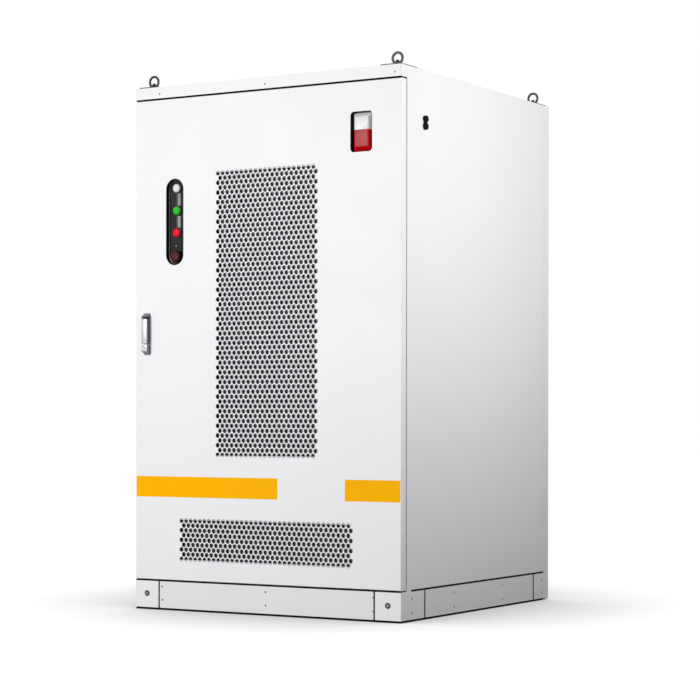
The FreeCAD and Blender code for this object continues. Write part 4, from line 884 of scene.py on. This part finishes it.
# %% Lever and key
lever_front, lever_back = -569.0, -557.0
lever_low, lever_high = 916.5, 1001.8
plate_back = lever_front + 2.1
core_front, core_step = plate_back - 0.3, lever_back - 5
slot_low, slot_half, inner_half = 984, 4.3, lock_half - 0.05
bm = bmesh.new()
side_outline(bm, [(lever_front, lever_low), (lever_front, lever_high), (plate_back, lever_high),
                  (plate_back, lever_low)], lock_span, 0.9, finish=1)
side_outline(bm, [(core_front, 917.2), (core_front, slot_low), (lever_back, slot_low), (lever_back, 921.5),
                  (core_step, 917.2)], around(lock_x, inner_half), 0.4)
cheek = [(core_front, slot_low), (core_front, lever_high), (core_step, lever_high), (lever_back, 997.6),
         (lever_back, slot_low)]
for side in (-1, 1):
    side_outline(bm, cheek, sorted((lock_x + side * slot_half, lock_x + side * inner_half)), 0.4)
for height in (926, 931, 936):
    strip(bm, around(lock_x, 7), (lever_front - 0.35, lever_front + 1), around(height, 0.9), 0.3, finish=1)
# Black rubber pad at the lever's top: painted shade for the gap.
strip(bm, around(lock_x, 10), (lever_front + 0.5, lever_front + 5.5), (1001.7, 1004.6), 0.3, finish=2)
add_piece(bm, "handle_lever", [zinc_casting, satin_chrome, foam_rubber], "lock_lever", replaces=("lock_lever",))

bm = bmesh.new()
turned(bm, [(6, -12), (6, 0.2), (5.6, 0.6), (4.9, 0.6), (4.7, 0.35), (0, 0.35)], (lock_x, -569, key_z), sides=40)
# The black strip is painted shade for the keyway slot.
strip(bm, around(lock_x, 0.8), (-569.5, -569.2), around(key_z, 3.5), 0.1, finish=1)
add_piece(bm, "key_plug", [polished_steel, black_polyamide], "key_cylinder", replaces=("key_cylinder",))
print("lever", round(lever_high - lever_low, 1), "mm high")

# %% [markdown]
# ## Lifting eyes
# An eye is a drop forging: a round ring that stands on a round collar. The ring is a torus, so it's
# made by turning a small circle round the ring's axis. The collar tapers up to the end of the stud,
# which shows in the ring's opening.

# %% Lifting eyes
ring_middle, ring_thick, ring_steps, ring_sides = 18.25, 4.25, 40, 14
eye_seat, eye_rise = 1805.0, 22.5
collar_and_stud = [(0, 0), (11.6, 0), (12.5, 0.9), (12.5, 3.6), (11.6, 5.4), (10.4, 8.2), (8.6, 10.6),
                   (6.6, 12.2), (6.0, 13.0), (6.0, 16.0), (5.0, 17.2), (0, 17.2)]
bm = bmesh.new()
for x, y in ((-486, -501), (-486, 501), (486, -501), (486, 501)):
    loops = []
    for angle in full_turn(ring_steps):
        out = Vector((cos(angle), 0, sin(angle)))
        middle = Vector((x, y, eye_seat + eye_rise)) + out * ring_middle
        loops.append([middle + (out * cos(t) + Vector((0, 1, 0)) * sin(t)) * ring_thick
                      for t in full_turn(ring_sides)])
    ring_faces(bm, loops + [loops[0]])
    turned(bm, collar_and_stud, (x, y, eye_seat), (0, 0, 1), 28)
weld(bm)
add_piece(bm, "lifting_eyes", black_zinc, "cabinet", replaces=("eye_bolts",))
print("eye holes", 2 * (ring_middle - ring_thick), "mm")

# %% [markdown]
# ## Bolts, screws and plugs
# Small fasteners are what makes a sheet-metal body believable. The bolts at the plinth's corners
# are bright zinc button heads with a hexagon socket, each in a black ring. The covers are held by small
# zinc-plated screws with a drilled head. A double plug, two round heads on one web, closes spare holes high on
# the right side.

# %% Fasteners
def socket_head(bm, centre, radius, height, socket, sides=28, finish=0):
    """A button head with a hexagon socket, turned round its axis."""
    dome = [(1, 0), (1, 0.25), (0.93, 0.55), (0.78, 0.8), (0.62, 0.93)]
    profile = [(radius * wide, height * up) for wide, up in dome]
    profile += [(socket * 1.15, height), (socket, height * 0.98)]
    turned(bm, profile, centre, sides=sides, finish=finish)
    turned(bm, [profile[-1], (socket * 0.98, height * 0.35), (0, height * 0.3)], centre, sides=6, finish=finish)


bolt_x, bolt_z, fascia_z = 479, 55, 1776
plug_y, plug_heights = -396, (1615.5, 1639.5)
bm = bmesh.new()
for x in (-bolt_x, bolt_x):
    turned(bm, [(10, 0), (10, 1.4), (9.4, 2.0), (5.4, 2.0), (5.2, 0.5)], (x, door_front, bolt_z), sides=28)
    socket_head(bm, (x, door_front - 0.5, bolt_z), 5.2, 4.2, 2.4, finish=1)
add_piece(bm, "corner_bolts", [black_powder, bright_zinc], "cabinet", replaces=("plinth_bolts",))

screw_profile = [(3.8, 0), (3.8, 0.35), (3.3, 0.6), (0.9, 0.6), (0.8, 0.2), (0, 0.2)]
front_screws = [(x, z) for x in (425, 9, -415) for z in (80, 35)] + [(x, fascia_z) for x in (-428, 4, 503)]
side_screws = [(y, z) for y in (-477, -183, 176, 494) for z in (75, 28)]
bm = bmesh.new()
for x, z in front_screws:
    turned(bm, screw_profile, (x, door_front, z), sides=20)
for y, z in side_screws:
    turned(bm, screw_profile, (cabinet_right, y, z), (1, 0, 0), 20)
add_piece(bm, "cover_screws", grey_zinc, "cabinet")

bm = bmesh.new()
for z in plug_heights:
    turned(bm, [(11.3, 0), (11.3, 8.0), (10.9, 9.8), (9.8, 11.0), (7.6, 11.6), (3.6, 11.8), (3.0, 10.6),
                (0, 10.6)], (cabinet_right, plug_y, z), (1, 0, 0))
block(bm, (cabinet_right, 537), around(plug_y, 5.5), (1617, 1638), edge=2.2, segments=3)
add_piece(bm, "blanking_plug_heads", foam_rubber, "cabinet", replaces=("blanking_plugs",))
print("cover screws:", len(front_screws) + len(side_screws))

# %% [markdown]
# ## Painted shade in the seams
# The seams of the cabinet are shadow gaps. Black rubber strips laid in them are painted shade that turns them
# into black lines. One set of flat strips stays on the body, and another rides on the door's lower and upper
# edge. A thin foot strip in the recess under the plinth is painted shade too. On the front and on the right side
# low lips cover the edges of the sheets by a millimetre and stand half a millimetre proud, which makes the
# painted shade lines bolder.

# %% Seam shade strips
def lay_shade_strips(name, body, strips, mirrored=()):
    """One piece of black rubber strips that are painted shade in the seams: three spans and an edge each.
    Mirrored ones lie on both sides.
    """
    bm = bmesh.new()
    for spans in strips:
        strip(bm, *spans)
    for x_span, *rest in mirrored:
        for side in (-1, 1):
            strip(bm, sorted((side * x_span[0], side * x_span[1])), *rest)
    add_piece(bm, name, foam_rubber, body)


toe_span, seam_span = (0.0, 4.8), (5.0, 98.6)
side_length, seam_length = (-547.2, 505), (-481, 505)
front_width, lip_width = (-526.5, 526.5), (-526.5, 526.9)
# Black rubber strips in the seams: painted shade for the shadow gaps.
lay_shade_strips("body_seam_shade_strips", "cabinet", (
    (front_width, (-546.5, -518), (99.0, 101.5), 0.3),
    (front_width, (-546.5, -518), (1757.5, 1760.0), 0.3),
    (lip_width, (-548.6, -546.4), (98.2, 101.6), 0.2),
    (lip_width, (-548.6, -546.4), (1757.4, 1760.9), 0.2),
), (((506, 527.8), (-512.7, -512.0), (102, 1759), 0.2),))
lay_shade_strips("door_edge_shade_strips", "door", [(front_width, (-544.5, -537), z_span, 0.3)
                                        for z_span in ((101.8, 104.0), (1755.0, 1757.2))])
lay_shade_strips("plinth_shade_strips", "cabinet", (
    ((-524, 524), (-547.2, -545.2), toe_span, 0.3),
    ((-524, 526.9), (-548.5, -547.0), (3.4, 6.8), 0.15),
    ((527.0, 528.5), (-546.9, 505), (3.4, 6.8), 0.15),
    ((527.8, 528.5), seam_length, (97.9, 104.2), 0.15),
    ((527.3, 528.5), (-393.2, -385.8), (6.8, 97.9), 0.15),
    ((527.3, 528.5), (420.0, 427.4), (6.8, 97.9), 0.15),
), (
    ((525.2, 527.2), side_length, toe_span, 0.3),
    ((427.3, 429.7), (-547.4, -545.4), seam_span, 0.2),
    ((425.8, 431.2), (-548.5, -547.2), (5.0, 98.4), 0.15),
    ((525.4, 527.4), (-391.8, -387.2), seam_span, 0.2),
    ((525.4, 527.4), (421.4, 426.0), seam_span, 0.2),
    ((525.2, 527.9), seam_length, (99.2, 102.8), 0.3),
))
print("seam shade strips laid")

# %% [markdown]
# ## Battery modules
# A module is a steel case in a rack, with a front plate, bow grips, a dark display with a row of
# small lamps, two power sockets and rows of vents. The plate is a pierced sheet, so its vents are
# real openings. A black liner behind them is painted shade for the dark inside of the case. One mesh serves all
# eight modules, which stand 180 mm apart.

# %% Tools for the inner pieces
def level_slot(x, z, width, height):
    """A level slot with round ends, as flat points for a pierced sheet."""
    return flat(rounded_loop(width, height, height / 2 - 0.01, 0, x, 0, z, 4))


def bent_rod(bm, path, radius, finish=0, sides=12):
    """A round rod along points that lie in one upright plane across X."""
    across = Vector((1, 0, 0))
    turns = full_turn(sides)
    loops = []
    for index, point in enumerate(path):
        along = (path[min(index + 1, len(path) - 1)] - path[max(index - 1, 0)]).normalized()
        third = along.cross(across)
        loops.append([point + (across * cos(t) + third * sin(t)) * radius for t in turns])
    ring_faces(bm, loops, finish)


def bow(x, y_foot, y_bar, z_low, z_high, bend_radius, steps=6):
    """The middle line of a bow grip: out, along and back, with round corners."""
    angles = [pi / 2 * step / steps for step in range(steps + 1)]
    path = [Vector((x, y_foot, z_low))]
    for z_corner, side in ((z_low, 1), (z_high, -1)):
        for angle in angles[::side]:
            path.append(Vector((x, y_bar + bend_radius * (1 - sin(angle)),
                                z_corner + side * bend_radius * (1 - cos(angle)))))
    return path + [Vector((x, y_foot, z_high))]


print("tools for the inner pieces ready")

# %% One battery module
module_seat, module_step, module_high = 202.0, 180.0, 165.0
plate_face, plate_rear, display_face, bar_y = -431.0, -428.0, -433, -457
shade_liner, screw, grip, plus, plastic, glass, lamp = range(1, 8)


def rise(low, high):
    return (module_seat + low, module_seat + high)


bm = bmesh.new()
block(bm, (-426.8, -15.2), (-426.4, 172), rise(0, 163.6), edge=1.5)
block(bm, (-418, -24), (-400, 160), rise(163, module_high), edge=0.8)
# The black liner behind the vents is painted shade.
strip(bm, (-424, -18), (-427.9, -426.4), rise(4, 160), 0.3, finish=shade_liner)
vents = [level_slot(x, module_seat + 30 + 15 * row, 108, 6) for x in (-345, -97) for row in range(8)]
closed_plate(bm, rectangle((-459, 17), rise(0, module_high)), vents, plate_face, plate_rear)
for x in (-451, 9):
    for z in rise(20, 145):
        socket_head(bm, (x, plate_face, z), 5.2, 3.2, 2.4, 24, finish=screw)
for x in (-433, -9):
    low, high = rise(41.5, 123.5)
    bent_rod(bm, bow(x, plate_face + 0.5, bar_y, low, high, 9), 4, finish=grip)
    for z in (low, high):
        turned(bm, [(7.5, 0), (7.5, 1.4), (6.6, 2.2), (4, 2.6)], (x, plate_face, z), sides=20, finish=grip)
socket_z, socket_face = module_seat + 41.25, -446
for x, colour in ((-251, plus), (-191, plastic)):
    block(bm, around(x, 8), (socket_face, plate_face + 0.5), around(socket_z, 8), edge=1.6, finish=colour)
    turned(bm, [(7.4, 0), (7.4, 2.6), (6.9, 3), (6.1, 3), (5.9, 0.2), (0, 0.2)], (x, socket_face, socket_z),
           sides=28, finish=colour)
    turned(bm, [(2.2, 0.1), (2.2, 2.2), (1.7, 2.6), (0, 2.6)], (x, socket_face, socket_z), sides=16, finish=screw)
block(bm, (-266, -176), (display_face, plate_face + 0.3), rise(82.5, 112.5), edge=0.9, finish=plastic)
strip(bm, (-262, -194), (display_face - 0.1, display_face + 0.5), rise(86, 109), 0.25, finish=glass)
for index in range(5):
    turned(bm, [(1.4, -0.2), (1.4, 0.3), (0.9, 0.6), (0, 0.7)],
           (-185, display_face, module_seat + 88 + 5 * index), sides=14, finish=lamp)
for x in (-240, -221, -202):
    block(bm, around(x, 8), (-432.4, plate_face + 0.3), rise(57, 70), edge=0.5, finish=plastic)
    # The black insets in the small blocks are painted shade for their openings.
    strip(bm, around(x, 5.6), (-432.5, -432), rise(59.5, 67.5), 0.1, finish=shade_liner)
for side_x in (-428.0, -15.4):
    for y in (-330, -190, -50, 90):
        strip(bm, (side_x, side_x + 1.4), around(y, 45), rise(60, 105), 0.6)
modules = sorted(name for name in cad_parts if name.startswith("battery_module"))
case_finishes = [grey_powder, foam_rubber, bright_zinc, black_powder, orange_polyamide, black_polyamide,
                 tray_gloss, lens_green]
first_case = add_piece(bm, "battery_case_1", case_finishes, "cabinet", replaces=(modules[0],))
for index, node in enumerate(modules[1:], 1):
    place_piece("battery_case_%d" % (index + 1), first_case.data, "cabinet", (node,),
                index * module_step)
print("battery modules:", len(modules), "with", len(first_case.data.polygons), "faces each")

# %% [markdown]
# ## Power converter and fan
# The converter's case has a front panel with a round air opening, two columns of vents and a
# display. In front of the opening stands the fan. Its blades are twisted: steep at the hub and flat
# at the tip, since the tip moves faster. Each blade is a skin over cross sections from hub to tip.
# A guard of wire rings keeps fingers out.

# %% Power converter
bay_x, fan_z = 253.0, 562.0
panel_face, panel_sink, panel_rear = -428, -427.7, -426
bm = bmesh.new()
block(bm, (45.5, 460.5), (-425, 132), (162, 762), edge=2.0)
# The black liner behind the vents and the black cup behind the fan opening are painted shade.
strip(bm, (52, 454), (-425.9, -425), (170, 754), 0.2, finish=shade_liner)
vents = [level_slot(x, 195 + 15 * row, 150, 7) for x in around(bay_x, 95) for row in range(10)]
vents.append(circle(79, bay_x, fan_z, 48))
closed_plate(bm, rectangle((44.2, 461.8), (162.2, 761.8)), vents, panel_face, panel_rear)
turned(bm, [(79, 0), (77.5, 6), (70, 7), (0, 7)], (bay_x, panel_face + 1, fan_z), (0, 1, 0), 48, finish=shade_liner)
for x in (56, 253, 450):
    for z in (174, 372, 750):
        socket_head(bm, (x, panel_face, z), 4.6, 2.8, 2.1, 22, finish=screw)
block(bm, (bay_x - 60, bay_x + 20), (-430.4, panel_sink), (400, 446), edge=1.2, finish=3)
strip(bm, (bay_x - 55, bay_x + 15), (-430.6, -430), (405, 441), 0.3, finish=4)
for index in range(4):
    key_x = bay_x + 36 + index * 20
    block(bm, around(key_x, 7), (-431, panel_sink), (416, 430), edge=1.6, segments=3, finish=3)
    turned(bm, [(1.8, -0.2), (1.8, 0.5), (1.2, 0.9), (0, 1)], (key_x, panel_face, 440), sides=14, finish=5)
for side_x in (44.0, 460.2):
    for y in (-280, -60):
        for row in range(10):
            block(bm, (side_x, side_x + 1.8), around(y, 80), around(300 + 24 * row, 4), edge=0.8)
add_piece(bm, "converter_case", [dark_powder, foam_rubber, bright_zinc, black_polyamide, tray_gloss, lens_green],
          "cabinet", replaces=("power_converter",))
print("converter built")

# %% Fan wheel
fan_centre = Vector((bay_x, -452.65, fan_z))
hub_radius, tip_radius, blade_steps, half_ring = 32, 77.5, 8, 6
bm = bmesh.new()
turned(bm, [(0, -11.2), (30, -11.2), (33, -10.2), (34, -8), (34, 10.6), (33, 11.3), (6, 11.3), (4, 11.6),
            (4, 21)], fan_centre, (0, 1, 0), 48)
for spin in full_turn(6):
    out = Vector((sin(spin), 0, cos(spin)))
    sideways = Vector((cos(spin), 0, -sin(spin)))
    loops = []
    for step in range(blade_steps + 1):
        share = step / blade_steps
        pitch = radians(42 - 16 * share)
        chord = 30 + 8 * sin(pi * share * 0.8)
        ring = []
        for side in (1, -1):
            for index in range(half_ring + 1):
                along = index / half_ring if side == 1 else 1 - index / half_ring
                bulge = 1 - (2 * along - 1) ** 2
                across = (along - 0.5) * chord
                lift = 2.2 * bulge + side * 1.3 * sqrt(max(bulge, 0.02))
                ring.append(fan_centre + out * (hub_radius + (tip_radius - hub_radius) * share)
                            + sideways * (across * cos(pitch) - lift * sin(pitch) + 6 * share * share)
                            + Vector((0, 1, 0)) * (across * sin(pitch) + lift * cos(pitch)))
        loops.append(ring)
    bm.faces.new(ring_faces(bm, loops)[-1])
add_piece(bm, "fan_wheel", black_polyamide, "fan_rotor", replaces=("fan_rotor",))
print("fan with 6 twisted blades")

# %% Fan guard
wire, wire_sides, guard_y = 1.3, 10, -468
quarter_turns = [pi / 4 + pi / 2 * quarter for quarter in range(4)]
wire_section = [2 * pi * index / wire_sides for index in range(wire_sides + 1)]
bm = bmesh.new()
for radius in (20, 36, 52, 68, 82):
    section = [(radius + wire * cos(t), wire * sin(t)) for t in wire_section]
    turned(bm, section, (bay_x, guard_y, fan_z), sides=56)
for angle in quarter_turns:
    out = Vector((cos(angle), 0, sin(angle)))
    turned(bm, [(0, 0), (wire, 0.5), (wire, 84), (0, 84.5)],
           Vector((bay_x, guard_y - 1.6, fan_z)) + out * 18, out, 10)
    turned(bm, [(5.5, 0), (5.5, 1.2), (4.4, 2.6), (2, 3.0), (1.8, 2.0), (0, 2.0)],
           Vector((bay_x, guard_y + 2, fan_z)) + out * 102.5, sides=20)
weld(bm)
add_piece(bm, "fan_guard", bright_zinc, "cabinet")
print("guard of five rings")

# %% [markdown]
# ## Switchgear
# The breakers, the main isolator, the control unit and the busbars keep their solids and gain what
# makes them readable: black lines between the poles, which are painted shade for the gaps, clamping screws in
# their shafts, small windows, a yellow plate behind the red knob, keys with a display, and bolts with ribbed
# insulators. The small windows, the white marks and the knob mark use the lens finishes and glow faintly, which
# is painted light.

# %% Breakers and isolator
pole_step, breaker_face = 18, -318
bm = bmesh.new()
for pole in range(13):
    for z_span in ((1004.5, 1036), (1102, 1133.5)):
        # Black lines between the poles: painted shade for the gaps.
        strip(bm, around(145 + pole_step * pole, 0.4), (breaker_face - 0.3, breaker_face + 0.2), z_span, 0.1)
for pole in range(12):
    x = 154 + pole_step * pole
    for z in (1017, 1121):
        turned(bm, [(5.2, 0), (5.2, 0.5), (4.6, 0.7), (4.2, 0.2), (0, 0.2)], (x, breaker_face, z), sides=20)
        socket_head(bm, (x, breaker_face - 0.1, z), 3.4, 1.2, 1.5, 16, finish=1)
    # These windows and the white marks below glow faintly: painted light.
    strip(bm, around(x, 4), (-327.5, -326.8), (1092, 1098), 0.25, finish=2)
    strip(bm, around(x, 6), (breaker_face - 0.5, breaker_face + 0.2), (1028, 1035), 0.2, finish=3)
add_piece(bm, "breaker_details", [black_polyamide, bright_zinc, lens_green, lens_white], "cabinet")

isolator_z, isolator_front, isolator_back = 883, -310, -308
bm = bmesh.new()
outline = flat(rounded_loop(100, 100, 12, 0, bay_x, 0, isolator_z, 5))
closed_plate(bm, outline, [circle(34, bay_x, isolator_z, 48)], isolator_front, isolator_back)
weld(bm)
for angle in quarter_turns:
    centre = (bay_x + 57 * cos(angle), isolator_front, isolator_z + 57 * sin(angle))
    socket_head(bm, centre, 3.6, 2.0, 1.6, 18, finish=1)
add_piece(bm, "isolator_plate", [yellow_polyamide, bright_zinc], "cabinet")
bm = bmesh.new()
strip(bm, around(bay_x, 1), (-330.2, -329.6), (isolator_z + 8, isolator_z + 27), 0.1)
# The knob mark glows faintly: painted light.
add_piece(bm, "knob_mark", lens_white, "isolator_knob")
print("switchgear details added")

# %% Control unit
control_face, control_sink, terminal_face = -308, -307.6, -318
bm = bmesh.new()
block(bm, (143, 283), (control_face - 2.4, control_sink), (1282, 1362), edge=1.6)
strip(bm, (149, 277), (control_face - 2.6, control_face - 2), (1288, 1356), 0.3, finish=1)
for x in (308, 334, 360):
    for z in (1306, 1340):
        block(bm, around(x, 8), (control_face - 3, control_sink), around(z, 8), edge=2.0, segments=3)
for index in range(6):
    turned(bm, [(2, -0.2), (2, 0.6), (1.3, 1.1), (0, 1.2)], (300 + 14 * index, control_face, 1284),
           sides=16, finish=2)
for z in (1214, 1250):
    for pole in range(20):
        x = 125.5 + 13.4 * pole
        strip(bm, around(x, 6.2), (terminal_face, control_sink), around(z, 9), 0.9, finish=3)
        socket_head(bm, (x, terminal_face + 0.1, z + 3), 2.6, 0.9, 1.1, 14, finish=4)
        # Black slots in the terminals are painted shade for their wire entries.
        strip(bm, around(x, 3), (terminal_face - 0.1, terminal_face + 0.4), (z - 6.5, z - 2.5), 0.1)
add_piece(bm, "control_unit_details", [black_polyamide, tray_gloss, lens_green, orange_polyamide, bright_zinc],
          "cabinet")
print("control unit with display, keys and terminals")

# %% Busbars
insulator_y, busbar_face = -278, -283
rib_profile = [(10.8, 0.2)]
for rib in range(5):
    start = 1 + 5.6 * rib
    rib_profile += [(13, start), (15, start + 1), (15, start + 3), (13, start + 4.2)]
rib_profile.append((10.8, 29.6))
bm = bmesh.new()
for z in (1481, 1541):
    for x in (113, 393):
        turned(bm, rib_profile, (x, insulator_y, z), (0, 1, 0), 28)
    for x in (93, 113, 173, 213, 253, 293, 333, 393, 413):
        turned(bm, [(8.5, 0), (8.5, 1.2), (7.6, 1.4)], (x, busbar_face, z), sides=24, finish=1)
        turned(bm, [(7.2, 1.2), (7.2, 5.6), (6.4, 6.4), (0, 6.6)], (x, busbar_face, z), sides=6, finish=1)
add_piece(bm, "busbar_fixings", [red_polyamide, bright_zinc], "cabinet")
print("busbars bolted")
